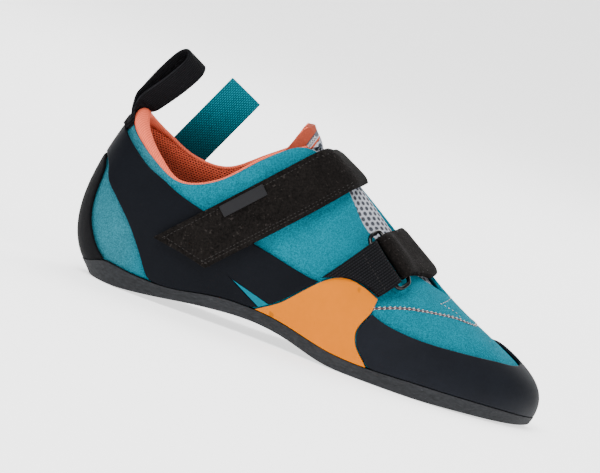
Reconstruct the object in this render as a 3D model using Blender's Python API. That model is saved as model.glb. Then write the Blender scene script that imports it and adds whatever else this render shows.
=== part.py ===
"""Climbing shoe for the right foot, modelled in the pieces that a maker would put together.

Tables and functions are in millimetres, and become metres when a mesh is made.
+X runs to the toe, +Y to the inner side of the foot and +Z up. The floor is z = 0.
In the tables x is counted from the back of the heel and y from the middle of the heel.
The upper is one skin, skin(p, h): p counts the stations round the shoe, from the heel back
along the outer side to the toe and home along the inner side, and h climbs from the sole's
edge (0) to the collar and throat (1). Every overlay is cut from that same skin.
"""

import bmesh
import bpy
import numpy as np

# Driving dimensions, in millimetres
MM = 0.001
GAP = 0.3                          # clearance between pieces that meet
SEAM = 0.7                         # clearance between two overlays side by side
UPPER_WALL = 2.0
RUBBER = 1.6                       # thickness of rands, band and patch
SKIN_GAP = 0.38                    # clearance between the upper and an overlay, for their facets
SOLE_LIP = SKIN_GAP + RUBBER       # how far the sole's edge stands outside the upper
# How much narrower the sole's ground is than its top, by stations off the heel back
SOLE_BEVEL = ((0, 6.5), (1, 4.2), (2, 1.6), (4, 1.2), (13, 1.4))
INSOLE_THICK = 3.0
INSOLE_EASE = 0.6                  # clearance between insole and upper
TONGUE_THICK = 2.5
TONGUE_DEPTH = UPPER_WALL + 1.5    # the tongue's face lies this far under the upper's skin
STRAP_THICK = 1.5
STRAP_OVER_RUBBER = SKIN_GAP + RUBBER + 0.5    # lift of a strap where rubber lies under it
WEBBING_THICK = 1.5
WEBBING_LIFT = 0.9
RING_WIRE = 2.6                    # diameter of the ring's wire
RING_PITCH = 9.0                   # between the two long bars of a ring
RING_CORNER = 2.6                  # radius of a ring's corners
RING_EASE = 0.60                   # clearance between a ring and what folds round it
LABEL_THICK = 0.6
LOOP_THICK = 1.3
HEEL_LOOP_WIDTH = 14.0
SIDE_LOOP_WIDTH = 19.3
CENTRE_X = 124.0                   # the middle of the shoe's box, which is the origin
CENTRE_Y = -1.6

# How finely the forms are divided
STEPS_PER_STATION = 3
UPPER_ROWS = 8
FOOT_BLEND = 0.12                  # share of the wall over which its normal turns level
PLACE_WEIGHTS = np.array((14.0, 70.0))     # millimetres to one station, and to the whole wall
TOE_RAND_GRID = (48, 7)            # points along an overlay and up it
PATCH_GRID = (15, 10)
HEEL_RAND_GRID = (13, 9)
BAND_GRID = (61, 5)
STRAP_STEPS = 24                   # points along one run of a strap, and of a webbing
WEBBING_STEPS = 6

# Stations round the shoe: sole edge, top line, and how the wall bulges between them.
# The wall leaves the sole out by low_out and up by low_up, and comes into the top line
# from high_out outside it and high_down below it.
# Columns: edge_x, edge_y, top_x, top_y, top_z, low_out, low_up, high_out, high_down
STATIONS = {
    "heel_back": (10, 0, 11, 0, 79, 15, 15.5, 9, 28),
    "heel_corner": (15, -13.5, 15, -12.5, 74, 11, 16, 8, 26),
    "heel_side": (28, -24, 28, -22, 65.5, 5, 18, 4, 22),
    "heel_front": (50, -28.8, 44, -26, 59.2, 3, 18, 5, 20),
    "waist_rear": (75, -29, 62, -26.5, 67, 2, 18, 6, 22),
    "waist": (98, -30.5, 79, -23.5, 84.5, 1, 20, 7, 24),
    "waist_front": (120, -34.5, 97, -16, 96.4, 1, 20, 13, 24),
    "ball_rear": (141, -40.8, 119, -9, 86, 1.5, 18, 20, 22),
    "ball": (163, -45, 136, -13, 68.5, 2, 14, 18, 16),
    "ball_front": (184, -44.5, 152, -13.5, 60.8, 2, 13, 18, 13),
    "toe_joint": (205, -38, 168, -9, 54.6, 2.5, 13, 18, 10),
    "toe_side": (225, -25, 180, -3, 51.4, 3, 15, 24, 11),
    "toe_corner": (239.5, -8, 185.5, 1, 49.6, 4.5, 18, 33, 16.5),
    "toe_tip": (247, 12, 187, 5, 48.6, 5, 20, 36, 18.5),
    "toe_inner_corner": (240.5, 29, 186, 9, 49.4, 4.5, 19, 33, 17.5),
    "toe_inner": (225, 38.5, 180, 12, 52.8, 3, 18, 25, 14.5),
    "hallux": (205, 42, 168, 15.5, 60, 2, 17, 20, 10),
    "ball_inner": (184, 41, 152, 17, 69.4, 2, 17, 18, 12),
    "ball_inner_rear": (163, 36, 136, 17, 79.4, 1.5, 18, 14, 14),
    "arch_front": (141, 28, 118, 16, 89.6, 1, 20, 12, 20),
    "arch": (119, 21.5, 97, 16, 97, 3, 22, 12, 24),
    "arch_rear": (97, 20.5, 80, 22.5, 83, 4, 22, 8, 24),
    "waist_inner": (75, 23.5, 63, 26, 70, 4, 20, 6, 22),
    "heel_inner": (50, 26.5, 45, 25.5, 69.5, 4, 18, 5, 20),
    "heel_inner_rear": (28, 23, 28, 21, 76, 5, 18, 5, 22),
    "heel_inner_corner": (15, 13, 15, 12, 79.5, 11, 16, 8, 26),
}
STATION_NAMES = list(STATIONS)
STATION_VALUES = np.array(list(STATIONS.values()), float)
STATION_COUNT = len(STATION_NAMES)
TOE_TIP = STATION_NAMES.index("toe_tip")
FACING_TOP = STATION_NAMES.index("waist_front")

# The tongue under the throat, which is the top line between the facing's top and the toe
TONGUE_HEM = (0.86, 0.93)          # how far down the wall the tongue's sides reach
TONGUE_RISE = (-1.5, 0.0, 11.0)    # from the facing's top to the tongue's top, in its middle
TONGUE_SIDE_RISE = (-10.0, 0.0, 4.0)           # and at its sides, which curve back round the ankle
TONGUE_NARROWS = ((0.33, 0.84), (0.66, 0.8), (1.0, 0.78))  # share of that rise, and of its width there
# How far the upper's slope carries on into the tongue's crown, by station: flat at the top
TONGUE_SWELL = ((FACING_TOP, 0.07), (FACING_TOP + 0.6, 0.16), (FACING_TOP + 1.6, 0.34),
                (TOE_TIP, 0.36))

# The sole along its length: x, height of its ground side, height of its top side
SOLE_LEVELS = np.array((
    (0, 0, 5), (10, 0, 6), (16, 0, 8), (21, 0, 10.4), (28, 0, 9.8), (33, 0, 9.2), (38, 0.8, 8.8),
    (48, 2.1, 8.7), (58, 3.7, 9.2), (68, 5.2, 11.2), (78, 6.3, 12.9), (88, 7.2, 13.7),
    (98, 7.6, 13.6), (108, 6.9, 12.9), (118, 5.4, 11.2), (128, 2.8, 9.1), (138, 0.6, 7.3),
    (146, 0, 6.6), (153, 0, 6.4), (168, 0, 6.8), (185, 0, 7.5), (208, 0.6, 7.6),
    (228, 0.9, 7.2), (238, 1.1, 6.5), (248, 1.9, 5.7),
), float)

# Edges of the overlays, seen from the side: x and z
PATCH_REAR = ((105, 17.7), (109, 20.5), (115, 26.8), (120, 32.4))
PATCH_TOP = ((125, 37.4), (130, 41), (138, 42.9), (146, 41.2), (153.3, 38.3))
PATCH_FRONT = ((155.6, 10.5), (152, 13.2), (149.6, 17), (148.6, 21.4), (150, 26.2), (152.6, 31.3))
PATCH_FOOT = (99.2, 159.0)
TOE_RAND_OUTER = ((160, 29), (168, 27.7), (178, 26.8), (188, 26.6), (198, 26.9), (208, 27.2),
                  (218, 27.6))
TOE_RAND_INNER = ((218, 33), (205, 31), (190, 29), (170, 28), (150, 28.5), (132, 30.5))
TOE_RAND_TIP = 28.4
BAND_UPPER = ((18, 67), (28, 60.6), (38, 57), (48, 53.2), (60, 50.3), (74, 46.8), (88, 43.7),
              (98, 41.8), (108, 39.5), (118, 37.7))
BAND_LOWER = ((18, 41.4), (28, 31.7), (36, 21.9), (42.5, 12.5))
BAND_FOOT = (46.5, 60, 80)
BAND_HEEL_TOP = 74.5
BAND_INNER_FOOT = 108.0

# The heel's overlays, seen from behind: stations off the heel back, and z
HEEL_RAND_SIDE = ((1.5, 6.0), (1.3, 13), (1.05, 20), (0.84, 28), (0.74, 38), (0.72, 47), (0.66, 52.5))
HEEL_RAND_TOP = ((0.66, 52.5), (0.4, 56.2), (0.0, 57.6))
BAND_HEEL_LOWER = ((0.0, 59.2), (0.45, 58.2), (0.82, 54.5), (1.02, 48.5))

# The straps, seen from the side: their angle, and their rear edge's place across that angle at the
# ring. flare moves both edges across, over a run of distances from the ring.
STRAPS = {
    "upper_strap": {"angle": 47.0, "edge": 13.6, "width": 22.5, "flare": (-4.7, -2.2), "lift": 2.3,
                    "flare_run": (34.0, 64.0),
                    "ring_side": "inner", "bar": 116.0, "lowest": 46.0, "rubber_up_to": 88.0,
                    "free_end": (50.6, 66.2), "sewn_end": (57.0, 71.0), "webbing_sewn": 14.0},
    "lower_strap": {"angle": 53.0, "edge": 75.2, "width": 23.2, "flare": (4.0, 9.4), "lift": 0.9,
                    "flare_run": (0.0, 34.0),
                    "ring_side": "outer", "bar": 137.6, "lowest": 104.0, "rubber_up_to": 0.0,
                    "free_end": (115.0, 124.0), "sewn_end": (112.0, 122.0), "webbing_sewn": 30.0},
}
# Where each webbing comes out from under the rubber: place across the strap and along it
WEBBING_ENDS = {
    "upper_strap": ((5, 77.0), (10, 80.5), (22, 87.5), (36, 95.5)),
    "lower_strap": ((76.6, 106.2), (78.4, 112), (80.6, 115.7), (83.7, 118.4), (89.1, 121.1),
                    (95.1, 123.2), (104.6, 124.5)),
}
RING_MARGIN = 1.6                  # clear space between strap edge and ring, on each side
RAMP = 14.0                        # length over which a folded strap opens round its ring
LIFT_RUN = 16.0                    # length over which a strap comes down from the rubber to the skin
LABEL_ALONG = (85.0, 108.0)        # the label's place along the upper strap and across it
LABEL_ACROSS = (10.2, 16.0)

# Heel loop, as a folded ribbon: share of its length, half opening, and turn of its width
HEEL_LOOP_FOOT = (75.6, 81.0)      # heights of its sewn foot and of where it leaves the heel
HEEL_LOOP_TOP = (30.5, 0.0, 117.6)
HEEL_LOOP_OPENING = ((0.0, 1.0), (0.25, 2.0), (0.55, 4.2), (0.8, 4.8), (0.93, 3.8))
HEEL_LOOP_TURN = 38.0
HEEL_LOOP_FORWARD = 1.0            # the loop leaves the heel this far over the collar's edge
HEEL_LOOP_TURN_RUN = 8.0           # length over which its width turns
HEEL_LOOP_STEPS = 44
# Side loop: centre of its foot and of its top, seen from the side
SIDE_LOOP_FOOT = (36.5, 62.0)
SIDE_LOOP_TOP = (58.3, 109.0)
SIDE_LOOP_OPENING = ((0.0, 0.0), (0.25, 0.0), (0.6, 0.5), (0.85, 0.9), (0.96, 0.8))
SIDE_LOOP_SEWN = 0.08              # share of its length that lies on the upper
SIDE_LOOP_STEPS = 40

FINISHES = {
    "sole_rubber": ((0.045, 0.047, 0.05), 0.75),
    "rand_rubber": ((0.017, 0.018, 0.025), 0.45),
    "heel_rubber": ((0.042, 0.042, 0.042), 0.7),
    "patch_rubber": ((0.93, 0.39, 0.06), 0.55),
    "suede": ((0.015, 0.31, 0.38), 0.9),
    "mesh": ((0.51, 0.53, 0.58), 0.85),
    "board": ((0.5, 0.14, 0.06), 0.9),
    "strap": ((0.012, 0.009, 0.008), 0.85),
    "webbing": ((0.01, 0.01, 0.011), 0.8),
    "ring": ((0.008, 0.008, 0.009), 0.3),
    "label": ((0.03, 0.03, 0.033), 0.6),
    "side_loop": ((0.0, 0.115, 0.14), 0.85),
}


# Curves

def along_table(x, xs, values):
    """Smooth curve through a table that never overshoots it, so level stretches stay level."""
    xs = np.asarray(xs, float)
    values = np.asarray(values, float)
    steps = np.diff(xs)
    slopes = np.diff(values) / steps
    before, after = slopes[:-1], slopes[1:]
    rising_together = before * after > 0
    safe_sum = np.where(rising_together, before + after, 1.0)
    inner = np.where(rising_together, 2 * before * after / safe_sum, 0.0)
    tangents = np.concatenate(([slopes[0]], inner, [slopes[-1]]))
    x = np.clip(x, xs[0], xs[-1])
    row = np.clip(np.searchsorted(xs, x, side="right") - 1, 0, len(steps) - 1)
    t = (x - xs[row]) / steps[row]
    rise = values[row + 1] - values[row]
    start, end = tangents[row] * steps[row], tangents[row + 1] * steps[row]
    return values[row] + t * (start + t * (3 * rise - 2 * start - end + t * (start + end - 2 * rise)))


def ground_level(x):
    return along_table(x, SOLE_LEVELS[:, 0], SOLE_LEVELS[:, 1])


def sole_top_level(x):
    return along_table(x, SOLE_LEVELS[:, 0], SOLE_LEVELS[:, 2])


def catmull(a, b, c, d, t):
    return b + 0.5 * t * (c - a + t * (2 * a - 5 * b + 4 * c - d + t * (3 * (b - c) + d - a)))


def round_the_shoe(columns, p):
    """Closed smooth curve through one row of values for each station."""
    start = np.floor(p).astype(int)
    rows = [columns[(start + step) % STATION_COUNT] for step in (-1, 0, 1, 2)]
    return catmull(*rows, (p - start)[..., None])


def through(points, count):
    """Smooth open curve through points, as count points evenly spaced along it."""
    points = np.asarray(points, float)
    padded = np.vstack((2 * points[0] - points[1], points, 2 * points[-1] - points[-2]))
    t = np.linspace(0, 1, 12, endpoint=False)[:, None]
    pieces = [catmull(*padded[i:i + 4], t) for i in range(len(points) - 1)]
    fine = np.vstack(pieces + [points[-1:]])
    return evenly(fine, count)


def evenly(points, count, weights=1.0):
    """The same polyline with count points at equal distances."""
    steps = np.linalg.norm(np.diff(points, axis=0) * weights, axis=1)
    lengths = np.concatenate(([0.0], np.cumsum(steps)))
    places = np.linspace(0, lengths[-1], count)
    return np.stack([np.interp(places, lengths, column) for column in points.T], axis=1)


# The upper's skin

def sole_edge(p):
    """Point of the sole's edge and its outward direction, both seen from above."""
    p = np.asarray(p, float)
    outline = STATION_VALUES[:, :2]
    step = 0.02
    travel = round_the_shoe(outline, p + step) - round_the_shoe(outline, p - step)
    travel /= np.linalg.norm(travel, axis=-1, keepdims=True)
    outward = np.stack((travel[..., 1], -travel[..., 0]), axis=-1)
    return round_the_shoe(outline, p), outward


def with_height(plan, z):
    return np.concatenate((plan, np.broadcast_to(z, plan.shape[:-1])[..., None]), axis=-1)


def wall(p, h):
    """Point of the skin: one cubic wall from the sole's edge to the top line at each station."""
    edge, outward = sole_edge(p)
    values = round_the_shoe(STATION_VALUES, p)
    top = values[..., 2:5]
    low_out, low_up, high_out, high_down = (values[..., k, None] for k in range(5, 9))
    out = with_height(outward, 0.0)
    up = np.array((0.0, 0.0, 1.0))
    foot_plan = edge - SOLE_LIP * outward
    foot = with_height(foot_plan, sole_top_level(foot_plan[..., 0]) + GAP)
    low = foot + low_out * out + low_up * up
    high = top + high_out * out - high_down * up
    t = np.asarray(h, float)[..., None]
    s = 1 - t
    return s ** 3 * foot + 3 * s * s * t * low + 3 * s * t * t * high + t ** 3 * top


def skin(p, h, offset=0.0):
    """Point of the skin, moved along its normal, which lies level at the sole's top."""
    p, h = np.broadcast_arrays(np.asarray(p, float), np.asarray(h, float))
    step_p, step_h = 0.03, 0.01
    around = wall(p + step_p, h) - wall(p - step_p, h)
    climb = wall(p, np.minimum(h + step_h, 1)) - wall(p, np.maximum(h - step_h, 0))
    normal = np.cross(around, climb)
    normal /= np.linalg.norm(normal, axis=-1, keepdims=True)
    normal[..., 2] *= np.clip(h / FOOT_BLEND, 0, 1)
    normal /= np.linalg.norm(normal, axis=-1, keepdims=True)
    points = wall(p, h) + offset * normal
    points[..., 2] = np.where(h <= 0, sole_top_level(points[..., 0]) + GAP, points[..., 2])
    return points


# Finding places on the skin

SEARCH_P = np.linspace(0, STATION_COUNT, 12 * STATION_COUNT + 1)
SEARCH_H = np.linspace(0, 1, 61)
SEARCH_SKIN = wall(*np.meshgrid(SEARCH_P, SEARCH_H, indexing="ij"))
SIDE_RANGE = {"outer": (0.6, TOE_TIP - 0.6), "inner": (TOE_TIP + 0.6, STATION_COUNT - 0.6)}


def at_height(p, z):
    """Place (p, h) on the skin at a station and a height."""
    heights = wall(np.full(len(SEARCH_H), p % STATION_COUNT), SEARCH_H)[:, 2]
    return p, float(np.interp(z, heights, SEARCH_H))


def on_side(side, x, z):
    """Place (p, h) on one side of the skin that shows at x and z from the side."""
    first, last = SIDE_RANGE[side]
    on_that_side = (SEARCH_P >= first) & (SEARCH_P <= last)
    seen = SEARCH_SKIN[on_that_side][..., (0, 2)] - np.array((x, z))
    near = np.unravel_index(np.argmin((seen ** 2).sum(axis=-1)), seen.shape[:2])
    place = np.array((SEARCH_P[on_that_side][near[0]], SEARCH_H[near[1]]))
    for _ in range(6):
        step = 1e-3
        miss = wall(*place)[[0, 2]] - np.array((x, z))
        along_p = (wall(place[0] + step, place[1]) - wall(place[0] - step, place[1]))[[0, 2]]
        along_h = (wall(place[0], place[1] + step) - wall(place[0], place[1] - step))[[0, 2]]
        slope = np.stack((along_p, along_h), axis=1) / (2 * step)
        place = place - np.linalg.solve(slope, miss)
        place[1] = np.clip(place[1], 0, 1)
    return float(place[0]), float(place[1])


def at_foot(side, x):
    """Place (p, 0) where the wall of one side stands on the sole at x."""
    first, last = SIDE_RANGE[side]
    on_that_side = (SEARCH_P >= first) & (SEARCH_P <= last)
    feet = SEARCH_SKIN[on_that_side][:, 0, 0]
    order = np.argsort(feet)
    return float(np.interp(x, feet[order], SEARCH_P[on_that_side][order])), 0.0


# Meshes

def make_finish(name):
    colour, roughness = FINISHES[name]
    finish = bpy.data.materials.new(name)
    finish.use_nodes = True
    shader = finish.node_tree.nodes["Principled BSDF"]
    shader.inputs["Base Color"].default_value = (*colour, 1.0)
    shader.inputs["Roughness"].default_value = roughness
    shader.inputs["Metallic"].default_value = 0.0
    return finish


def add_object(name, data, finish):
    piece = bpy.data.objects.new(name, data)
    bpy.context.scene.collection.objects.link(piece)
    piece.parent = bpy.data.objects["climbing_shoe"]
    data.materials.append(bpy.data.materials.get(finish) or make_finish(finish))
    return piece


def add_shell(name, face, back, finish, closed=False):
    """Closed solid between two like grids of points, closed round its rows if asked."""
    rows, columns = face.shape[:2]
    points = np.concatenate((face.reshape(-1, 3), back.reshape(-1, 3))) * MM
    half = rows * columns

    def corner(layer, row, column):
        return layer * half + (row % rows) * columns + column

    faces = []
    row_steps = range(rows if closed else rows - 1)
    for row in row_steps:
        for column in range(columns - 1):
            quad = [(row, column), (row + 1, column), (row + 1, column + 1), (row, column + 1)]
            faces.append([corner(0, *place) for place in quad])
            faces.append([corner(1, *place) for place in reversed(quad)])
        for column in (0, columns - 1):
            faces.append([corner(0, row, column), corner(0, row + 1, column),
                          corner(1, row + 1, column), corner(1, row, column)])
    if not closed:
        for column in range(columns - 1):
            for row in (0, rows - 1):
                faces.append([corner(0, row, column), corner(0, row, column + 1),
                              corner(1, row, column + 1), corner(1, row, column)])
    mesh = bpy.data.meshes.new(name)
    mesh.from_pydata(points.tolist(), [], faces)
    edit = bmesh.new()
    edit.from_mesh(mesh)
    bmesh.ops.recalc_face_normals(edit, faces=edit.faces)
    edit.to_mesh(mesh)
    edit.free()
    mesh.shade_smooth()
    mesh.set_sharp_from_angle(angle=np.radians(50))
    return add_object(name, mesh, finish)


def add_wire_ring(name, path, finish):
    """Closed round wire along a path."""
    curve = bpy.data.curves.new(name, "CURVE")
    curve.dimensions = "3D"
    curve.bevel_depth = RING_WIRE / 2 * MM
    curve.bevel_resolution = 1
    spline = curve.splines.new("POLY")
    spline.points.add(len(path) - 1)
    for point, place in zip(spline.points, path * MM):
        point.co = (*place, 1.0)
    spline.use_cyclic_u = True
    return add_object(name, curve, finish)


def add_ribbon(name, path, width_ways, width, thickness, finish):
    """Flat band along a path, its width along the given directions."""
    travel = np.gradient(path, axis=0)
    travel /= np.linalg.norm(travel, axis=1, keepdims=True)
    ways = width_ways - (width_ways * travel).sum(axis=1, keepdims=True) * travel
    ways /= np.linalg.norm(ways, axis=1, keepdims=True)
    normal = np.cross(travel, ways)
    across = np.linspace(-0.5, 0.5, 2)[None, :, None] * width * ways[:, None, :]
    middle = path[:, None, :] + across
    half = normal[:, None, :] * thickness / 2
    return add_shell(name, middle + half, middle - half, finish)


# Sole, insole, upper and tongue

def foot_grid(inset):
    """Rows across the foot between like stations of both sides, moved in from the sole's edge.

    inset is one distance, or a table of stations off the heel back and distances.
    """
    tip = 0.12
    p = np.linspace(tip, TOE_TIP - tip, STEPS_PER_STATION * TOE_TIP)
    if not np.isscalar(inset):
        inset = along_table(p, *np.array(inset, float).T)[:, None]
    outer_edge, outer_out = sole_edge(p)
    inner_edge, inner_out = sole_edge(STATION_COUNT - p)
    outer = outer_edge - inset * outer_out
    inner = inner_edge - inset * inner_out
    share = np.linspace(0, 1, 3)[None, :, None]
    return outer[:, None, :] * (1 - share) + inner[:, None, :] * share


def build_sole():
    top_plan = foot_grid(0.0)
    ground_plan = foot_grid(SOLE_BEVEL)
    top = with_height(top_plan, sole_top_level(top_plan[..., 0]))
    ground = with_height(ground_plan, ground_level(ground_plan[..., 0]))
    add_shell("outsole", top, ground, "sole_rubber")


def build_insole():
    plan = foot_grid(SOLE_LIP + UPPER_WALL + INSOLE_EASE)
    level = sole_top_level(plan[..., 0]) + GAP
    add_shell("insole", with_height(plan, level + INSOLE_THICK), with_height(plan, level), "board")


def build_upper():
    p = np.arange(STATION_COUNT * STEPS_PER_STATION) / STEPS_PER_STATION
    h = np.linspace(0, 1, UPPER_ROWS + 1)
    p, h = np.meshgrid(p, h, indexing="ij")
    add_shell("upper", skin(p, h), skin(p, h, -UPPER_WALL), "suede", closed=True)


def tongue_rows(rows, crown_points):
    """The tongue's face, from the throat's front end to its top edge over the instep."""
    p = np.linspace(TOE_TIP - 0.25, FACING_TOP, rows)
    other = STATION_COUNT - p
    sides = []
    for station in (p, other):
        hem = [skin(station, np.full(rows, h), -TONGUE_DEPTH) for h in TONGUE_HEM]
        edge = skin(station, np.ones(rows), -TONGUE_DEPTH)
        slope = edge - skin(station, np.full(rows, 0.97), -TONGUE_DEPTH)
        slope /= np.linalg.norm(slope, axis=1, keepdims=True)
        sides.append((hem, edge, slope))
    (outer_hem, outer, outer_slope), (inner_hem, inner, inner_slope) = sides
    swell = along_table(p, *np.array(TONGUE_SWELL).T)[:, None]
    reach = swell * np.linalg.norm(inner - outer, axis=1, keepdims=True)
    low, high = outer + reach * outer_slope, inner + reach * inner_slope
    crown = []
    for t in np.linspace(0, 1, crown_points):
        s = 1 - t
        crown.append(s ** 3 * outer + 3 * s * s * t * low + 3 * s * t * t * high + t ** 3 * inner)
    face = np.stack(outer_hem + crown + inner_hem[::-1], axis=1)
    middle = face[-1].mean(axis=0)
    to_side = np.linspace(-1, 1, face.shape[1])[:, None] ** 2
    rise = (1 - to_side) * np.array(TONGUE_RISE) + to_side * np.array(TONGUE_SIDE_RISE)
    top_rows = [middle + (face[-1] - middle) * width + share * rise for share, width in TONGUE_NARROWS]
    return np.concatenate((face, np.stack(top_rows)))


def build_tongue():
    face = tongue_rows(16, 7)
    along, across = np.gradient(face, axis=0), np.gradient(face, axis=1)
    normal = np.cross(along, across)
    normal /= np.linalg.norm(normal, axis=-1, keepdims=True)
    downward = normal * -np.sign(normal[..., 2:3])
    add_shell("tongue", face, face + TONGUE_THICK * downward, "mesh")


# Rubber overlays

def edge_curve(places, count):
    curve = through(places, 10 * len(places))
    curve[:, 1] = np.clip(curve[:, 1], 0, 1)
    return evenly(curve, count, PLACE_WEIGHTS)


def add_overlay(name, start, end, foot, top, counts, finish):
    """Sheet of rubber on the skin between four edges, each a list of places (p, h)."""
    columns, rows = counts
    foot, top = edge_curve(foot, columns)[:, None], edge_curve(top, columns)[:, None]
    start, end = edge_curve(start, rows)[None], edge_curve(end, rows)[None]
    u = np.linspace(0, 1, columns)[:, None, None]
    v = np.linspace(0, 1, rows)[None, :, None]
    between_foot_and_top = (1 - v) * foot + v * top
    between_ends = (1 - u) * start + u * end
    corners = ((1 - v) * ((1 - u) * foot[:1] + u * foot[-1:]) + v * ((1 - u) * top[:1] + u * top[-1:]))
    place = between_foot_and_top + between_ends - corners
    p, h = place[..., 0], np.clip(place[..., 1], 0, 1)
    add_shell(name, skin(p, h, SKIN_GAP + RUBBER), skin(p, h, SKIN_GAP), finish)


def places(side, edge, shift=0.0):
    return [on_side(side, x + shift, z) for x, z in edge]


def between_feet(first, last, count):
    return [(p, 0.0) for p in np.linspace(first[0], last[0], count)]


def home(place):
    """The same place on the inner side, counted back from the heel."""
    return place[0] - STATION_COUNT, place[1]


def build_toe_rand():
    outer_foot = at_foot("outer", PATCH_FOOT[1] + SEAM)
    inner_top = places("inner", TOE_RAND_INNER)
    inner_foot = at_foot("inner", TOE_RAND_INNER[-1][0])
    rear = [outer_foot] + places("outer", PATCH_FRONT, SEAM)
    top = [rear[-1]] + places("outer", TOE_RAND_OUTER) + [at_height(TOE_TIP, TOE_RAND_TIP)] + inner_top
    foot = between_feet(outer_foot, inner_foot, 12)
    add_overlay("toe_rand", rear, [inner_foot, inner_top[-1]], foot, top, TOE_RAND_GRID,
                "rand_rubber")


def build_patch():
    rear_foot, front_foot = (at_foot("outer", x) for x in PATCH_FOOT)
    top = places("outer", PATCH_TOP)
    rear = [rear_foot] + places("outer", PATCH_REAR) + [top[0]]
    front = [front_foot] + places("outer", PATCH_FRONT) + [top[-1]]
    foot = between_feet(rear_foot, front_foot, 4)
    add_overlay("lateral_patch", rear, front, foot, top, PATCH_GRID, "patch_rubber")


def build_heel_rand():
    outer_side = [at_height(p, z) for p, z in HEEL_RAND_SIDE]
    inner_side = [at_height(-p, z) for p, z in HEEL_RAND_SIDE]
    outer_side[0], inner_side[0] = (HEEL_RAND_SIDE[0][0], 0.0), (-HEEL_RAND_SIDE[0][0], 0.0)
    outer_top = [at_height(p, z) for p, z in HEEL_RAND_TOP]
    top = [(-p, h) for p, h in outer_top] + outer_top[-2::-1]
    top[0] = inner_side[-1]
    foot = between_feet(inner_side[0], outer_side[0], 5)
    add_overlay("heel_rand", inner_side, outer_side, foot, top, HEEL_RAND_GRID, "heel_rubber")


def build_band():
    """Band round the heel: both sides and the heel back, from one front end to the other."""
    outer_foot = at_foot("outer", PATCH_FOOT[0] - SEAM)
    inner_foot = at_foot("inner", BAND_INNER_FOOT)
    outer_front = [outer_foot] + places("outer", PATCH_REAR + PATCH_TOP[:1], -1.6 * SEAM)
    inner_front = [home(inner_foot)]
    inner_front += [home(place) for place in places("inner", PATCH_REAR[2:] + PATCH_TOP[:1])]
    outer_foot_run = [at_foot("outer", x) for x in BAND_FOOT]
    inner_foot_run = [home(at_foot("inner", x)) for x in BAND_FOOT]
    heel_low = [at_height(p, z) for p, z in BAND_HEEL_LOWER]
    outer_low = heel_low + places("outer", BAND_LOWER) + outer_foot_run + [outer_foot]
    inner_low = [at_height(-p, z) for p, z in BAND_HEEL_LOWER[1:]]
    inner_low += [home(place) for place in places("inner", BAND_LOWER)]
    inner_low += inner_foot_run + [home(inner_foot)]
    outer_top = places("outer", BAND_UPPER) + [outer_front[-1]]
    inner_top = [home(place) for place in places("inner", BAND_UPPER)] + [inner_front[-1]]
    top = inner_top[::-1] + [at_height(0.0, BAND_HEEL_TOP)] + outer_top
    foot = inner_low[::-1] + outer_low
    add_overlay("tension_band", inner_front, outer_front, foot, top, BAND_GRID, "rand_rubber")


# Straps, rings and webbing

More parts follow.
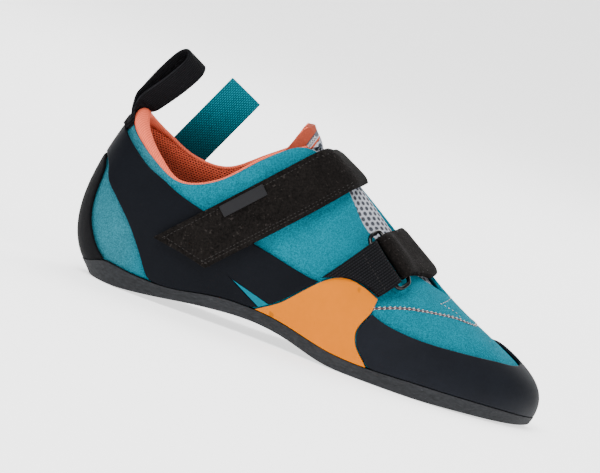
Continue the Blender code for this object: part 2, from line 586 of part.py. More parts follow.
class Wrap:
    """A taut strap's way over the shoe: each slice along it is the hull of the shoe's section.

    along and across measure in the side view, along the strap and across it. A place on the
    wrap is (across, length, offset): length runs over the shoe from the outer side to the inner.
    """

    SAMPLES = 260
    SMOOTHING = 5
    ROWS = 5
    SPARE_ROWS = 3
    SLICES_PER_ROW = 4
    TURN_WEIGHT = 14.0             # millimetres of length that one radian of turning counts as

    def __init__(self, angle, edge, width, lowest):
        turn = np.radians(angle)
        self.along = np.array((np.cos(turn), np.sin(turn)))
        self.across = np.array((np.sin(turn), -np.cos(turn)))
        self.lowest = lowest
        self.forms = [SEARCH_SKIN, tongue_rows(40, 17)[:-len(TONGUE_NARROWS)]]
        self.rows = np.linspace(edge, edge + width, self.ROWS)
        spare = self.SPARE_ROWS * width / (self.ROWS - 1)
        steps = (self.ROWS - 1 + 2 * self.SPARE_ROWS) * self.SLICES_PER_ROW
        self.slices = np.linspace(edge - spare, edge + width + spare, steps + 1)
        self.paths = [self.hull_path(across) for across in self.slices]

    def section(self, across):
        """Points (y, along) where the shoe's forms cross one slice."""
        found = []
        for form in self.forms:
            side_view = form[..., (0, 2)]
            height = side_view @ self.across - across
            flat = np.stack((form[..., 1], side_view @ self.along), axis=-1)
            for axis in (0, 1):
                here = np.delete(height, -1, axis)
                there = np.delete(height, 0, axis)
                crossing = here * there < 0
                share = (here[crossing] / (here[crossing] - there[crossing]))[:, None]
                start = np.delete(flat, -1, axis)[crossing]
                end = np.delete(flat, 0, axis)[crossing]
                found.append(start + share * (end - start))
        return np.concatenate(found)

    def hull_path(self, across):
        """Hull of a section from its lowest place up the outer side, over the top and down again."""
        hull = convex_hull(self.section(across))
        low = int(np.argmin(hull[:, 1]))
        ring = np.roll(hull, -low, axis=0)[::-1]
        fine = evenly(np.vstack((ring[-1:], ring)), 4 * self.SAMPLES)
        return smoothed(evenly(fine[fine[:, 1] >= self.lowest], self.SAMPLES), self.SMOOTHING)

    def slice(self, across):
        """Path of the wrap at one place across it, with its lengths and its outward directions."""
        row = np.clip(np.searchsorted(self.slices, across) - 1, 0, len(self.slices) - 2)
        share = (across - self.slices[row]) / (self.slices[row + 1] - self.slices[row])
        path = (1 - share) * self.paths[row] + share * self.paths[row + 1]
        steps = np.linalg.norm(np.diff(path, axis=0), axis=1)
        length = np.concatenate(([0.0], np.cumsum(steps)))
        travel = np.gradient(path, length, axis=0)
        normal = np.stack((-travel[:, 1], travel[:, 0]), axis=1)
        return path, length, normal / np.linalg.norm(normal, axis=1, keepdims=True)

    def length_at(self, across, side, along):
        """Length on a slice where one side of it reaches a place along the strap."""
        path, length, _ = self.slice(across)
        top = int(np.argmax(path[:, 1]))
        if side == "outer":
            return float(np.interp(along, path[:top + 1, 1], length[:top + 1]))
        return float(np.interp(-along, -path[top:, 1], length[top:]))

    def steps_between(self, across, start, end, count):
        """Lengths from start to end, closer together where the wrap turns."""
        _, length, normal = self.slice(across)
        turning = np.linalg.norm(np.diff(normal, axis=0), axis=1)
        measure = np.concatenate(([0.0], np.cumsum(np.diff(length) + self.TURN_WEIGHT * turning)))
        shares = np.linspace(*np.interp((start, end), length, measure), count)
        return np.interp(shares, measure, length)

    def point(self, across, length, offset):
        """A place on the wrap as a point of the shoe."""
        path, lengths, normals = self.slice(across)
        y, along = (np.interp(length, lengths, path[:, k] + offset * normals[:, k]) for k in (0, 1))
        x, z = along * self.along + across * self.across
        return np.array((x, y, z))


def smoothed(rows, window):
    """Moving average down the rows of a table, with its ends repeated."""
    kernel = np.ones(window) / window
    padded = np.pad(rows, ((window // 2,) * 2, (0, 0)), mode="edge")
    return np.stack([np.convolve(column, kernel, mode="valid") for column in padded.T], axis=1)


def convex_hull(points):
    """Convex hull of flat points, counter-clockwise."""
    points = points[np.lexsort((points[:, 1], points[:, 0]))]

    def chain(ordered):
        kept = []
        for point in ordered:
            while len(kept) > 1:
                a, b = kept[-1] - kept[-2], point - kept[-2]
                if a[0] * b[1] - a[1] * b[0] > 0:
                    break
                kept.pop()
            kept.append(point)
        return kept[:-1]

    return np.array(chain(points) + chain(points[::-1]))


def eased(share):
    share = np.clip(share, 0, 1)
    return share ** 2 * (3 - 2 * share)


def folded_strip(wrap, across, spread, run, bar, heading, lift_at, thickness, ends, steps):
    """Both faces of a strip that comes to a bar, folds round it and runs back over itself.

    heading is +1 where the strip reaches its bar with growing length, and -1 where it falls.
    lift_at gives the strip's lift off the skin by length, and spread moves it across the wrap
    over a run of distances from the bar. ends are the lengths of its lower and its upper end.
    """
    clear = RING_WIRE / 2 + RING_EASE
    centre = lift_at(bar) + thickness + clear
    lower = wrap.steps_between(across, ends[0], bar, steps)
    upper = wrap.steps_between(across, bar, ends[1], steps)
    turn = np.linspace(-np.pi / 2, np.pi / 2, 7)[1:-1]
    rest = lift_at(upper) + thickness + GAP
    opening = rest + (centre + clear - rest) * eased(1 - np.abs(upper - bar) / RAMP)

    def face(radius, low, high):
        lengths = np.concatenate((lower, bar + heading * radius * np.cos(turn), upper))
        offsets = np.concatenate((low, centre + radius * np.sin(turn), high))
        moved = across + spread * eased((heading * (bar - lengths) - run[0]) / (run[1] - run[0]))
        return np.array([wrap.point(*place) for place in zip(moved, lengths, offsets)])

    outside = face(clear + thickness, lift_at(lower), opening + thickness)
    inside = face(clear, lift_at(lower) + thickness, opening)
    return outside, inside


def strap_lift(wrap, across, sizes):
    """Lift of a strap by length: high over the rubber of the outer side, down on the skin past it."""
    rubber_end = wrap.length_at(across, "outer", sizes["rubber_up_to"])

    def lift_at(length):
        over = eased((rubber_end + LIFT_RUN - np.asarray(length)) / LIFT_RUN)
        return sizes["lift"] + (STRAP_OVER_RUBBER - sizes["lift"]) * over
    return lift_at


def webbing_lift(length):
    return WEBBING_LIFT + np.zeros_like(length)


def build_strap(name, sizes):
    edge, width, ring_side = sizes["edge"], sizes["width"], sizes["ring_side"]
    wrap = Wrap(sizes["angle"], edge, width, sizes["lowest"])
    far_side = "outer" if ring_side == "inner" else "inner"
    heading = 1 if ring_side == "inner" else -1
    rows = wrap.rows

    def bar_at(across):
        return wrap.length_at(across, ring_side, sizes["bar"])

    def end_at(across, end):
        along = np.interp((across - edge) / width, (0, 1), end)
        return wrap.length_at(across, far_side, along)

    strips = []
    for across in rows:
        ends = (end_at(across, sizes["sewn_end"]), end_at(across, sizes["free_end"]))
        spread = np.interp(across, (edge, edge + width), sizes["flare"])
        lift_at = strap_lift(wrap, across, sizes)
        strips.append(folded_strip(wrap, across, spread, sizes["flare_run"], bar_at(across), heading,
                                   lift_at, STRAP_THICK, ends, STRAP_STEPS))
    add_shell(name, *(np.stack(side) for side in zip(*strips)), "strap")

    webbing_end = np.array(WEBBING_ENDS[name])
    strips = []
    for across in rows:
        bar = bar_at(across) + heading * RING_PITCH
        along = np.interp(across, webbing_end[:, 0], webbing_end[:, 1])
        end = wrap.length_at(across, ring_side, along)
        sewn = bar + heading * min(sizes["webbing_sewn"], abs(end - bar))
        strips.append(folded_strip(wrap, across, 0.0, (0.0, 1.0), bar, -heading, webbing_lift,
                                   WEBBING_THICK, (end, sewn), WEBBING_STEPS))
    add_shell(name + "_webbing", *(np.stack(side) for side in zip(*strips)), "webbing")

    build_ring(name + "_ring", wrap, rows, bar_at, heading, sizes["lift"])
    return wrap


def ring_outline(rows):
    """Places of a ring's wire: across the strap, and the share from strap bar to webbing bar."""
    reach = rows[-1] + RING_MARGIN + RING_WIRE / 2
    turns = np.radians((0, 30, 60, 90))
    corner = [(reach - RING_CORNER * (1 - np.sin(turn)), RING_CORNER * (1 - np.cos(turn)) / RING_PITCH)
              for turn in turns]
    front_end = corner + [(across, 1 - share) for across, share in reversed(corner)]
    both_edges = rows[0] + rows[-1]
    rear_end = [(both_edges - across, 1 - share) for across, share in front_end]
    strap_bar = [(across, 0.0) for across in rows]
    webbing_bar = [(across, 1.0) for across in rows[::-1]]
    return strap_bar + front_end + webbing_bar + rear_end


def build_ring(name, wrap, rows, bar_at, heading, lift):
    """Rounded wire loop: one long bar in the strap's fold, the other in the webbing's."""
    clear = RING_WIRE / 2 + RING_EASE
    strap_bar = lift + STRAP_THICK + clear
    webbing_bar = WEBBING_LIFT + WEBBING_THICK + clear
    path = []
    for across, share in ring_outline(rows):
        length = bar_at(across) + heading * RING_PITCH * share
        offset = strap_bar + (webbing_bar - strap_bar) * share
        path.append(wrap.point(across, length, offset))
    add_wire_ring(name, np.array(path), "ring")


def build_label(wrap, sizes):
    """Bare label sewn to the upper strap near its rear edge."""
    layers = 2 * STRAP_THICK + 2 * GAP
    rows = np.linspace(*LABEL_ACROSS, 3)
    faces = []
    for across in rows:
        lift_at = strap_lift(wrap, across, sizes)
        ends = [wrap.length_at(across, "outer", along) for along in LABEL_ALONG]
        lengths = np.linspace(*ends, 8)
        back = [wrap.point(across, length, lift_at(length) + layers) for length in lengths]
        face = [wrap.point(across, length, lift_at(length) + layers + LABEL_THICK) for length in lengths]
        faces.append((np.array(face), np.array(back)))
    add_shell("strap_label", *(np.stack(side) for side in zip(*faces)), "label")


# Pull loops

def build_heel_loop():
    """Ribbon sewn by both ends to the heel back, turned so that its opening looks backwards."""
    foot, leave = HEEL_LOOP_FOOT
    turn = np.radians(HEEL_LOOP_TURN)
    top = np.array(HEEL_LOOP_TOP)
    heel_top = STATIONS["heel_back"][4]
    heel_p, leave_h = at_height(0.0, heel_top)
    foot_h = at_height(0.0, foot)[1]
    sewn_near = skin(heel_p, foot_h, GAP + LOOP_THICK / 2)
    sewn_far = skin(heel_p, foot_h, 2 * GAP + 1.5 * LOOP_THICK)
    leave_point = skin(heel_p, leave_h, 2 * GAP + LOOP_THICK) + (HEEL_LOOP_FORWARD, 0.0, leave - heel_top)
    lean = (top - leave_point) / np.linalg.norm(top - leave_point)
    level = np.array((lean[2], 0.0, -lean[0]))
    side = np.array((0.0, 1.0, 0.0))
    width_way = np.cos(turn) * level + np.sin(turn) * side
    apart = np.cos(turn) * side - np.sin(turn) * level
    shares, openings = np.array(HEEL_LOOP_OPENING).T
    legs = {}
    for sign in (-1, 1):
        sewn = sewn_near if sign < 0 else sewn_far
        spread = [np.array((-1.0, 0, 0)) * sign if share == 0 else sign * apart for share in shares]
        legs[sign] = [sewn] + [leave_point + share * (top - leave_point) + opening * way
                               for share, opening, way in zip(shares, openings, spread)]
    legs[-1][1] = leave_point + np.array((1.0, 0, 0)) * (LOOP_THICK + GAP) / 2
    legs[1][1] = leave_point - np.array((1.0, 0, 0)) * (LOOP_THICK + GAP) / 2
    path = through(legs[-1] + [top] + legs[1][::-1], HEEL_LOOP_STEPS)
    rise = np.clip((path[:, 2] - leave) / HEEL_LOOP_TURN_RUN, 0, 1)[:, None]
    ways = (1 - rise) * side + rise * width_way
    add_ribbon("heel_pull_loop", path, ways, HEEL_LOOP_WIDTH, LOOP_THICK, "webbing")


def build_side_loop():
    """Flat doubled ribbon that stands on the inner side of the collar."""
    foot, top = np.array(SIDE_LOOP_FOOT), np.array(SIDE_LOOP_TOP)
    rise = top - foot
    lean = rise / np.linalg.norm(rise)
    width_way = np.array((lean[1], -lean[0]))
    spots = [foot + share * rise + side * SIDE_LOOP_WIDTH * width_way
             for share in (0.0, SIDE_LOOP_SEWN) for side in np.linspace(-0.5, 0.5, 5)]
    stand = max(skin(*on_side("inner", *spot))[1] for spot in spots) + GAP + LOOP_THICK / 2
    apart = LOOP_THICK + GAP
    legs = {-1: [], 1: []}
    for side, leg in legs.items():
        for share, opening in SIDE_LOOP_OPENING:
            x, z = foot + share * rise
            leg.append((x, stand + apart / 2 + side * (apart / 2 + opening), z))
    peak = (top[0], stand + apart / 2, top[1])
    path = through(legs[-1] + [peak] + legs[1][::-1], SIDE_LOOP_STEPS)
    ways = np.tile((width_way[0], 0.0, width_way[1]), (len(path), 1))
    add_ribbon("side_pull_loop", path, ways, SIDE_LOOP_WIDTH, LOOP_THICK, "side_loop")


def main():
    for old in list(bpy.data.objects):
        bpy.data.objects.remove(old, do_unlink=True)
    shoe = bpy.data.objects.new("climbing_shoe", None)
    bpy.context.scene.collection.objects.link(shoe)
    shoe.location = (-CENTRE_X * MM, -CENTRE_Y * MM, 0.0)
    build_sole()
    build_insole()
    build_upper()
    build_tongue()
    build_toe_rand()
    build_heel_rand()
    build_band()
    build_patch()
    wraps = {name: build_strap(name, sizes) for name, sizes in STRAPS.items()}
    build_label(wraps["upper_strap"], STRAPS["upper_strap"])
    build_heel_loop()
    build_side_loop()


main()
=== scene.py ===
"""Looks of a climbing shoe: finishes, padded collar rim, stitching and stage around its CAD frame.

Laid out as a Blender add-on and run as a script. Tables are in millimetres, with x counted from
the back of the heel, y from the heel's middle line and z from the floor.
"""

import math
from contextlib import contextmanager

import bmesh
import bpy
import numpy as np
from bpy.props import FloatProperty, FloatVectorProperty, IntProperty, PointerProperty
from mathutils import Matrix, Vector
from mathutils.bvhtree import BVHTree


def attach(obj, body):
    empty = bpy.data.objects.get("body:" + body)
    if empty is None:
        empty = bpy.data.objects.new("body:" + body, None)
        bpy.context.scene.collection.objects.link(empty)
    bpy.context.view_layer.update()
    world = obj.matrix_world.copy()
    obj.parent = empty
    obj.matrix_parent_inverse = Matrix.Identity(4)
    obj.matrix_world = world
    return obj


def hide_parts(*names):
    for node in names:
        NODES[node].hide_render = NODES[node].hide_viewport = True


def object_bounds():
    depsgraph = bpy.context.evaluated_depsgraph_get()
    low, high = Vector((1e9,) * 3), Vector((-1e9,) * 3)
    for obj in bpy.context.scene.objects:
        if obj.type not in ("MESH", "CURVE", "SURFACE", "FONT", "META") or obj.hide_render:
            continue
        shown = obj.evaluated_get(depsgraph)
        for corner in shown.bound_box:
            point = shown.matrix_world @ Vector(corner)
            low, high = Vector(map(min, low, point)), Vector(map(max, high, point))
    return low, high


bl_info = {
    "name": "Climbing Shoe Looks",
    "version": (1, 0, 0),
    "blender": (4, 5, 0),
    "location": "3D View > Sidebar > Shoe",
    "description": "Dresses the CAD frame of a climbing shoe for rendering",
    "category": "Object",
}

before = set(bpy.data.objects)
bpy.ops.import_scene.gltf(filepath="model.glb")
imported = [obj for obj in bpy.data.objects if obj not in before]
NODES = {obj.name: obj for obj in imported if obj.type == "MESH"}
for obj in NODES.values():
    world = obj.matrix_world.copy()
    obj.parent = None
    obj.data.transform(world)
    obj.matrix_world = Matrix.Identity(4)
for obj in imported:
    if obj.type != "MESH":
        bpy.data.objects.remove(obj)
CAD_LOW, CAD_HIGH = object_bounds()

MM = 0.001
TABLE_ORIGIN = Vector((CAD_LOW.x - 0.5 * MM, 1.6 * MM, 0.0))
NEAR = -1                          # the shoe's outer side faces the camera, at -Y
LINED_UP_TO = 99.0                 # x where the lining inside the upper ends
CLOTH_MAP = "Round the shoe"       # UV map of lining and rim
DEPTH_MARK = "Depth"               # attribute of the upper: depth below the collar's edge, which sets the lining's painted shade
MERGED = 0.01 * MM                 # points nearer than this become one
CURVE_STEPS = 16                   # points from one row of a table to the next
COLLAR_STEPS = 90                  # points round the collar
STITCH_HEIGHT = 0.8                # as a share of a stitch's width

# Top line of the collar, from the outer facing round the heel to the inner facing:
# x, y, z of the edge, and the padded rim's radius, its rise above the edge and its shift inwards
COLLAR_LINE = (
    (97, -16, 96.4, 0.7, -0.4, 1.5),
    (79, -23.5, 84.5, 0.8, -0.3, 1.6),
    (62, -26.5, 67, 0.9, -0.3, 1.7),
    (44, -26, 59.2, 1.3, -0.2, 2.0),
    (28, -22, 65.5, 2.4, 0.8, 2.8),
    (15, -12.5, 74, 3.5, 2.4, 3.6),
    (11, 0, 79, 3.9, 3.2, 4.0),
    (15, 12, 79.5, 2.9, 1.6, 3.0),
    (28, 21, 76, 1.4, 0.0, 1.5),
    (45, 25.5, 69.5, 1.05, -0.2, 1.0),
    (63, 26, 70, 1.05, -0.2, 1.0),
    (80, 22.5, 83, 1.05, -0.2, 1.0),
    (97, 16, 97, 1.05, -0.2, 1.0),
)

# Seams on the upper: x, y and z
VAMP_SEAM = (
    (153.4, -36.9, 34.6), (162.8, -34.4, 38.2), (173.1, -29.4, 40.8), (183.2, -23.1, 42.0),
    (192.0, -16.6, 42.3), (198.6, -11.3, 41.3), (201.5, -7.3, 40.7), (203.2, -4.1, 40.3),
    (204.2, 3.0, 40.5), (203.3, 11.0, 40.8), (200.0, 18.2, 41.2), (196.0, 21.5, 42.1),
    (192.0, 24.3, 42.8), (188.0, 27.7, 43.1), (184.0, 31.5, 43.1), (180.0, 33.6, 42.6),
    (176.0, 34.7, 42.1), (172.0, 35.6, 41.1), (168.0, 36.0, 39.6), (164.0, 35.6, 38.1),
)
THROAT_SEAMS = (
    ((183.9, -14.2, 45.7), (185.4, -10.8, 46.7), (186.8, -6.1, 47.6), (187.8, 4.0, 48.3),
     (186.8, 13.0, 48.5), (183.9, 21.0, 47.8)),
    ((183.9, -14.2, 45.7), (188.2, -12.6, 44.8), (192.1, -11.1, 43.8), (194.5, -11.4, 42.7)),
    ((183.9, 21.0, 47.8), (188.2, 19.5, 46.0), (192.1, 18.0, 44.8), (194.5, 17.5, 44.0)),
)
# The tape on the tongue's top edge: one point of the edge, its slope in the side view and its width
TAPE_EDGE = (88.9, 0.0, 93.9)
TAPE_SLOPE = 72.5
TAPE_WIDTH = 5.3
# Front of the tongue's padded top: heights, and x there
TONGUE_TOP = ((95.0, 99.5, 103.0, 106.6), (105.0, 102.5, 98.6, 96.4))
# The slit in the tension band, where suede shows: x and z of its corners
BAND_SLIT = ((80, 25.2), (105.5, 18.6), (101, 14.6))

# Angles in the side view, and how far the heel loop's width turns out of it
STRAP_ANGLES = {"upper_strap": 47.0, "lower_strap": 53.0, "lower_strap_webbing": 53.0}
HEEL_LOOP_LEAN = 62.0
HEEL_LOOP_TURN = 38.0
SIDE_LOOP_LEAN = 65.1
# Stitch rows on straps and webbing, as places along and across the strap
STRAP_STITCHES = {
    "upper_strap": (
        ((146, 13.2), (138, 11.4), (55.2, 11.2), (67.0, 31.7), (138, 31.7), (147, 32.2)),
        ((66, 30.2), (138, 30.2), (147, 30.7)),
    ),
    "lower_strap": (
        ((137, 77.4), (150, 79.2)),
        ((137, 96.4), (150, 102.4)),
    ),
    "lower_strap_webbing": (
        ((129.4, 77.6), (129.4, 96.4)),
    ),
}


def srgb(red, green, blue):
    """Linear colour of a screen colour given from 0 to 255."""
    shares = [value / 255 for value in (red, green, blue)]
    return [s / 12.92 if s <= 0.04045 else ((s + 0.055) / 1.055) ** 2.4 for s in shares]


def colour_property(name, description, screen):
    return FloatVectorProperty(name=name, description=description, subtype="COLOR", size=3,
                               min=0.0, max=1.0, default=srgb(*screen))


class ShoeColours(bpy.types.PropertyGroup):
    """Colours of the shoe's finishes."""
    suede: colour_property("Suede", "Suede of the upper", (0, 110, 128))
    suede_dust: colour_property("Dusty suede", "Paler suede at the heel", (38, 104, 118))
    lining: colour_property("Lining", "Padded collar lining", (222, 98, 70))
    lining_hole: colour_property("Lining holes", "Holes of the lining's mesh", (84, 22, 15))
    patch: colour_property("Patch", "Rubber patch on the outer side", (208, 112, 0))
    rand: colour_property("Rand", "Toe rand and tension band", (14, 16, 21))
    heel_rand: colour_property("Heel rand", "Rubber cup at the heel", (12, 12, 14))
    sole: colour_property("Sole", "Sanded rubber of the sole", (38, 39, 41))
    strap: colour_property("Strap", "Brushed cloth of the straps", (17, 15, 14))
    webbing: colour_property("Webbing", "Ribbed webbing", (14, 14, 16))
    tongue: colour_property("Tongue", "Air mesh of the tongue", (176, 180, 190))
    # the holes' colour is also painted as the shadow under the tongue's zigzag
    tongue_hole_and_zigzag_shadow: colour_property("Tongue holes", "Holes of the tongue's mesh", (64, 67, 74))
    side_loop: colour_property("Side loop", "Webbing of the inner pull loop", (0, 84, 96))
    label: colour_property("Label", "Bare label on the upper strap", (29, 29, 31))
    thread: colour_property("Thread", "Pale thread of the upper's seams and the zigzag", (202, 196, 194))
    thread_accent: colour_property("Second thread", "Reddish thread of the vamp seam", (74, 52, 58))
    thread_dark: colour_property("Dark thread", "Thread of the straps and their webbing", (36, 33, 32))
    floor: colour_property("Floor", "Floor and backdrop", (255, 255, 255))


class ShoeSizes(bpy.types.PropertyGroup):
    """Sizes of the fine pieces."""
    edge_round: FloatProperty(name="Edge rounding", description="Rounding of the rubber pieces' edges",
                              default=0.45 * MM, min=0.05 * MM, unit="LENGTH")
    stitch_length: FloatProperty(name="Stitch length", description="Length of one stitch of the vamp seam",
                                 default=1.7 * MM, min=0.5 * MM, unit="LENGTH")
    stitch_width: FloatProperty(name="Stitch width", description="Thickness of the vamp seam's thread",
                                default=0.44 * MM, min=0.2 * MM, unit="LENGTH")
    mesh_pitch: FloatProperty(name="Tongue mesh pitch", description="Distance between the tongue's holes",
                              default=3.1 * MM, min=0.5 * MM, unit="LENGTH")
    smoothing: IntProperty(name="Smoothing", description="Subdivision levels of the pieces",
                           default=2, min=1, max=3)


# Places and paths

def place(x, y, z):
    """Point of the frame for a place in the tables' millimetres."""
    return TABLE_ORIGIN + Vector((x, y, z)) * MM


def smooth_rows(table, count):
    """Smooth curve through a table's rows, as count rows at even distances."""
    rows = np.array(table, float)
    padded = np.vstack((2 * rows[0] - rows[1], rows, 2 * rows[-1] - rows[-2]))
    t = np.linspace(0, 1, CURVE_STEPS, endpoint=False)[:, None]
    parts = []
    for a, b, c, d in zip(padded, padded[1:], padded[2:], padded[3:]):
        parts.append(b + 0.5 * t * (c - a + t * (2 * a - 5 * b + 4 * c - d + t * (3 * (b - c) + d - a))))
    return evenly(np.vstack(parts + [rows[-1:]]), count)


def travelled(points):
    """Distance along a path at each of its points."""
    steps = np.linalg.norm(np.diff(points, axis=0), axis=1)
    return np.concatenate(([0.0], np.cumsum(steps)))


def evenly(rows, count):
    """Count rows at even distances along a path, whose places are in the first three columns."""
    lengths = travelled(rows[:, :3])
    spots = np.linspace(0, lengths[-1], count)
    return np.stack([np.interp(spots, lengths, column) for column in rows.T], axis=1)


def stitch_count(table, pitch):
    return max(2, round(float(travelled(table)[-1]) * MM / pitch))


def share_between(value, start, full):
    """0 at start and before it, 1 at full and after it, and even between them."""
    return np.clip((value - start) / (full - start), 0, 1)


def side_ways(angle):
    """Directions along and across a band that leans by an angle in the side view."""
    turn = math.radians(angle)
    return Vector((math.cos(turn), 0, math.sin(turn))), Vector((math.sin(turn), 0, -math.cos(turn)))


def on_strap(strap, along, across):
    """The x and z of a place given along and across a strap, in the side view."""
    ahead, aside = side_ways(STRAP_ANGLES[strap])
    spot = along * ahead + across * aside
    return spot.x, spot.z


def surface_of(mesh):
    """Search tree of a mesh."""
    return BVHTree.FromPolygons([v.co for v in mesh.vertices], [p.vertices[:] for p in mesh.polygons])


def seen_on(tree, x, z):
    """Point and normal of a surface where it shows at x and z from the shoe's outer side."""
    outside, beside = NEAR * 150, NEAR * 10
    hit, normal, _, _ = tree.ray_cast(place(x, outside, z), Vector((0, -NEAR, 0)))
    if hit is None:
        hit, normal, _, _ = tree.find_nearest(place(x, beside, z))
    return hit, normal


# Modelling

def deselect_all():
    for item in bpy.context.selected_objects:
        item.select_set(False)


def activate(piece):
    deselect_all()
    piece.select_set(True)
    bpy.context.view_layer.objects.active = piece


@contextmanager
def edit_mode(piece, selected=False):
    """Edit mode on one piece, with all of it selected or nothing."""
    activate(piece)
    bpy.ops.object.mode_set(mode="EDIT")
    bpy.ops.mesh.select_mode(type="EDGE")
    bpy.ops.mesh.select_all(action="SELECT" if selected else "DESELECT")
    yield
    bpy.ops.mesh.select_mode(type="VERT")
    bpy.ops.object.mode_set(mode="OBJECT")


def select_edges(piece, test):
    """Selects the edges that pass a test, in edit mode."""
    bpy.ops.mesh.select_all(action="DESELECT")
    edit = bmesh.from_edit_mesh(piece.data)
    for edge in edit.edges:
        edge.select_set(test(edge))
    bmesh.update_edit_mesh(piece.data)


def node_copy(node, name):
    """Copy of a CAD node as one merged mesh of quads, to be worked on."""
    piece = bpy.data.objects.new(name, NODES[node].data.copy())
    piece.data.name = name
    bpy.context.scene.collection.objects.link(piece)
    with edit_mode(piece, selected=True):
        bpy.ops.mesh.remove_doubles(threshold=MERGED)
        bpy.ops.mesh.tris_convert_to_quads(face_threshold=math.radians(40), shape_threshold=math.radians(70))
    return piece


def round_edges(piece, width):
    """Bevels the piece's sharp edges."""
    with edit_mode(piece):
        bpy.ops.mesh.edges_select_sharp(sharpness=math.radians(50))
        bpy.ops.mesh.bevel(offset=width, segments=2, affect="EDGES", clamp_overlap=True)


def smooth(piece, levels):
    """Subdivides a piece and shades it smooth."""
    activate(piece)
    modifier = piece.modifiers.new("Subdivision", "SUBSURF")
    modifier.levels = levels
    modifier.render_levels = levels
    bpy.ops.object.modifier_apply(modifier=modifier.name)
    bpy.ops.object.shade_smooth()


def give_finishes(piece, *finishes):
    piece.data.materials.clear()
    for finish in finishes:
        piece.data.materials.append(finish)


def put_on(piece, slot, *replaced):
    """Puts a piece on the shoe, in place of the CAD nodes named."""
    if replaced:
        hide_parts(*replaced)
    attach(piece, "root")


def dress(piece, slot, finish, *replaced):
    """Gives a piece its finish and puts it on the shoe."""
    give_finishes(piece, finish)
    put_on(piece, slot, *replaced)


def dress_node(node, name, slot, finish, rounding, levels):
    """Rounded and smoothed copy of a CAD node, put in its place."""
    piece = node_copy(node, name)
    if rounding:
        round_edges(piece, rounding)
    smooth(piece, levels)
    dress(piece, slot, finish, node)
    return piece


def add_tube(name, points, radii, roundness):
    """Round tube along points, as a mesh with closed ends."""
    curve = bpy.data.curves.new(name, "CURVE")
    curve.dimensions = "3D"
    curve.bevel_depth = 1.0
    curve.bevel_resolution = roundness
    curve.use_fill_caps = True
    spline = curve.splines.new("POLY")
    spline.points.add(len(points) - 1)
    for spot, point, radius in zip(spline.points, points, radii):
        spot.co = (*point, 1.0)
        spot.radius = radius
    piece = bpy.data.objects.new(name, curve)
    bpy.context.scene.collection.objects.link(piece)
    activate(piece)
    bpy.ops.object.convert(target="MESH")
    piece = bpy.context.view_layer.objects.active
    piece.name = name
    with edit_mode(piece, selected=True):
        bpy.ops.mesh.remove_doubles(threshold=MERGED)
        bpy.ops.mesh.normals_make_consistent(inside=False)
    bpy.ops.object.shade_smooth()
    return piece


def model_stitch():
    """One stitch of unit length and width, lying along X."""
    deselect_all()
    bpy.ops.mesh.primitive_uv_sphere_add(segments=8, ring_count=6, radius=0.5)
    stitch = bpy.context.view_layer.objects.active
    with edit_mode(stitch, selected=True):
        bpy.ops.transform.rotate(value=math.pi / 2, orient_axis="Y", center_override=(0, 0, 0))
    return stitch


def add_stitches(name, rows, length, width, slant=0.0, aside=0.0):
    """Row of stitches at rows of (point, normal), each lying along the row or slanting off it.

    aside moves the whole row sideways along the surface.
    """
    stitch = model_stitch()
    points = [point for point, _ in rows]
    edit = bmesh.new()
    for index, (point, normal) in enumerate(rows):
        before, after = points[max(index - 1, 0)], points[min(index + 1, len(points) - 1)]
        along = (after - before).normalized()
        up = (normal - normal.dot(along) * along).normalized()
        across = up.cross(along)
        turn = Matrix((along, across, up)).transposed().to_4x4()
        size = Matrix.Diagonal((length, width, width * STITCH_HEIGHT, 1.0))
        spin = Matrix.Rotation(math.radians(slant), 4, "Z")
        first = len(edit.verts)
        edit.from_mesh(stitch.data)
        edit.verts.ensure_lookup_table()
        bmesh.ops.transform(edit, matrix=Matrix.Translation(point + aside * across) @ turn @ spin @ size,
                            verts=edit.verts[first:])
    mesh = bpy.data.meshes.new(name)
    edit.to_mesh(mesh)
    edit.free()
    bpy.data.objects.remove(stitch, do_unlink=True)
    piece = bpy.data.objects.new(name, mesh)
    bpy.context.scene.collection.objects.link(piece)
    activate(piece)
    bpy.ops.object.shade_smooth()
    return piece


def stitch_rows(node, start, end, pitch, lift):
    """Places of stitches from one (x, z) to another, as points and normals on a node's surface."""
    tree = surface_of(NODES[node].data)
    ends = np.array((start, end))
    rows = []
    for x, z in evenly(ends, stitch_count(ends, pitch)):
        point, normal = seen_on(tree, x, z)
        rows.append((point + lift * normal, normal))
    return rows


def seam_rows(node, table, pitch, lift):
    """Places of stitches along a row of (x, y, z), as points and normals on a node's surface."""
    tree = surface_of(NODES[node].data)
    rows = []
    for spot in smooth_rows(table, stitch_count(table, pitch)):
        point, normal, _, _ = tree.find_nearest(place(*spot))
        rows.append((point + lift * normal, normal))
    return rows


def tube_uv(piece, points):
    """UV map of a tube: along it and round it, both in metres, with its join underneath."""
    path = np.array(points)
    lengths = travelled(path)
    travel = np.gradient(path, axis=0)
    layer = piece.data.uv_layers.new(name=CLOTH_MAP)
    for loop in piece.data.loops:
        spot = np.array(piece.data.vertices[loop.vertex_index].co)
        nearest = int(np.linalg.norm(path - spot, axis=1).argmin())
        out = spot - path[nearest]
        way = travel[nearest] / np.linalg.norm(travel[nearest])
        side = np.cross(way, (0.0, 0.0, 1.0))
        angle = math.atan2(out.dot(side), out[2])
        layer.data[loop.index].uv = (lengths[nearest] + out.dot(way), angle * np.linalg.norm(out))


def wrap_uv(piece):
    """UV map that runs round the shoe from the heel's back, and up: both in metres."""
    turn_x, turn_radius = 42.0, 26.0
    layer = piece.data.uv_layers.new(name=CLOTH_MAP)
    centre = place(turn_x, 0, 0)
    for loop in piece.data.loops:
        spot = piece.data.vertices[loop.vertex_index].co
        if spot.x < centre.x:
            angle = math.atan2(spot.y - centre.y, centre.x - spot.x)
            run = angle * turn_radius * MM
        else:
            run = math.copysign(math.pi / 2 * turn_radius * MM + spot.x - centre.x, spot.y - centre.y)
        layer.data[loop.index].uv = (run, spot.z)


# Shader nodes

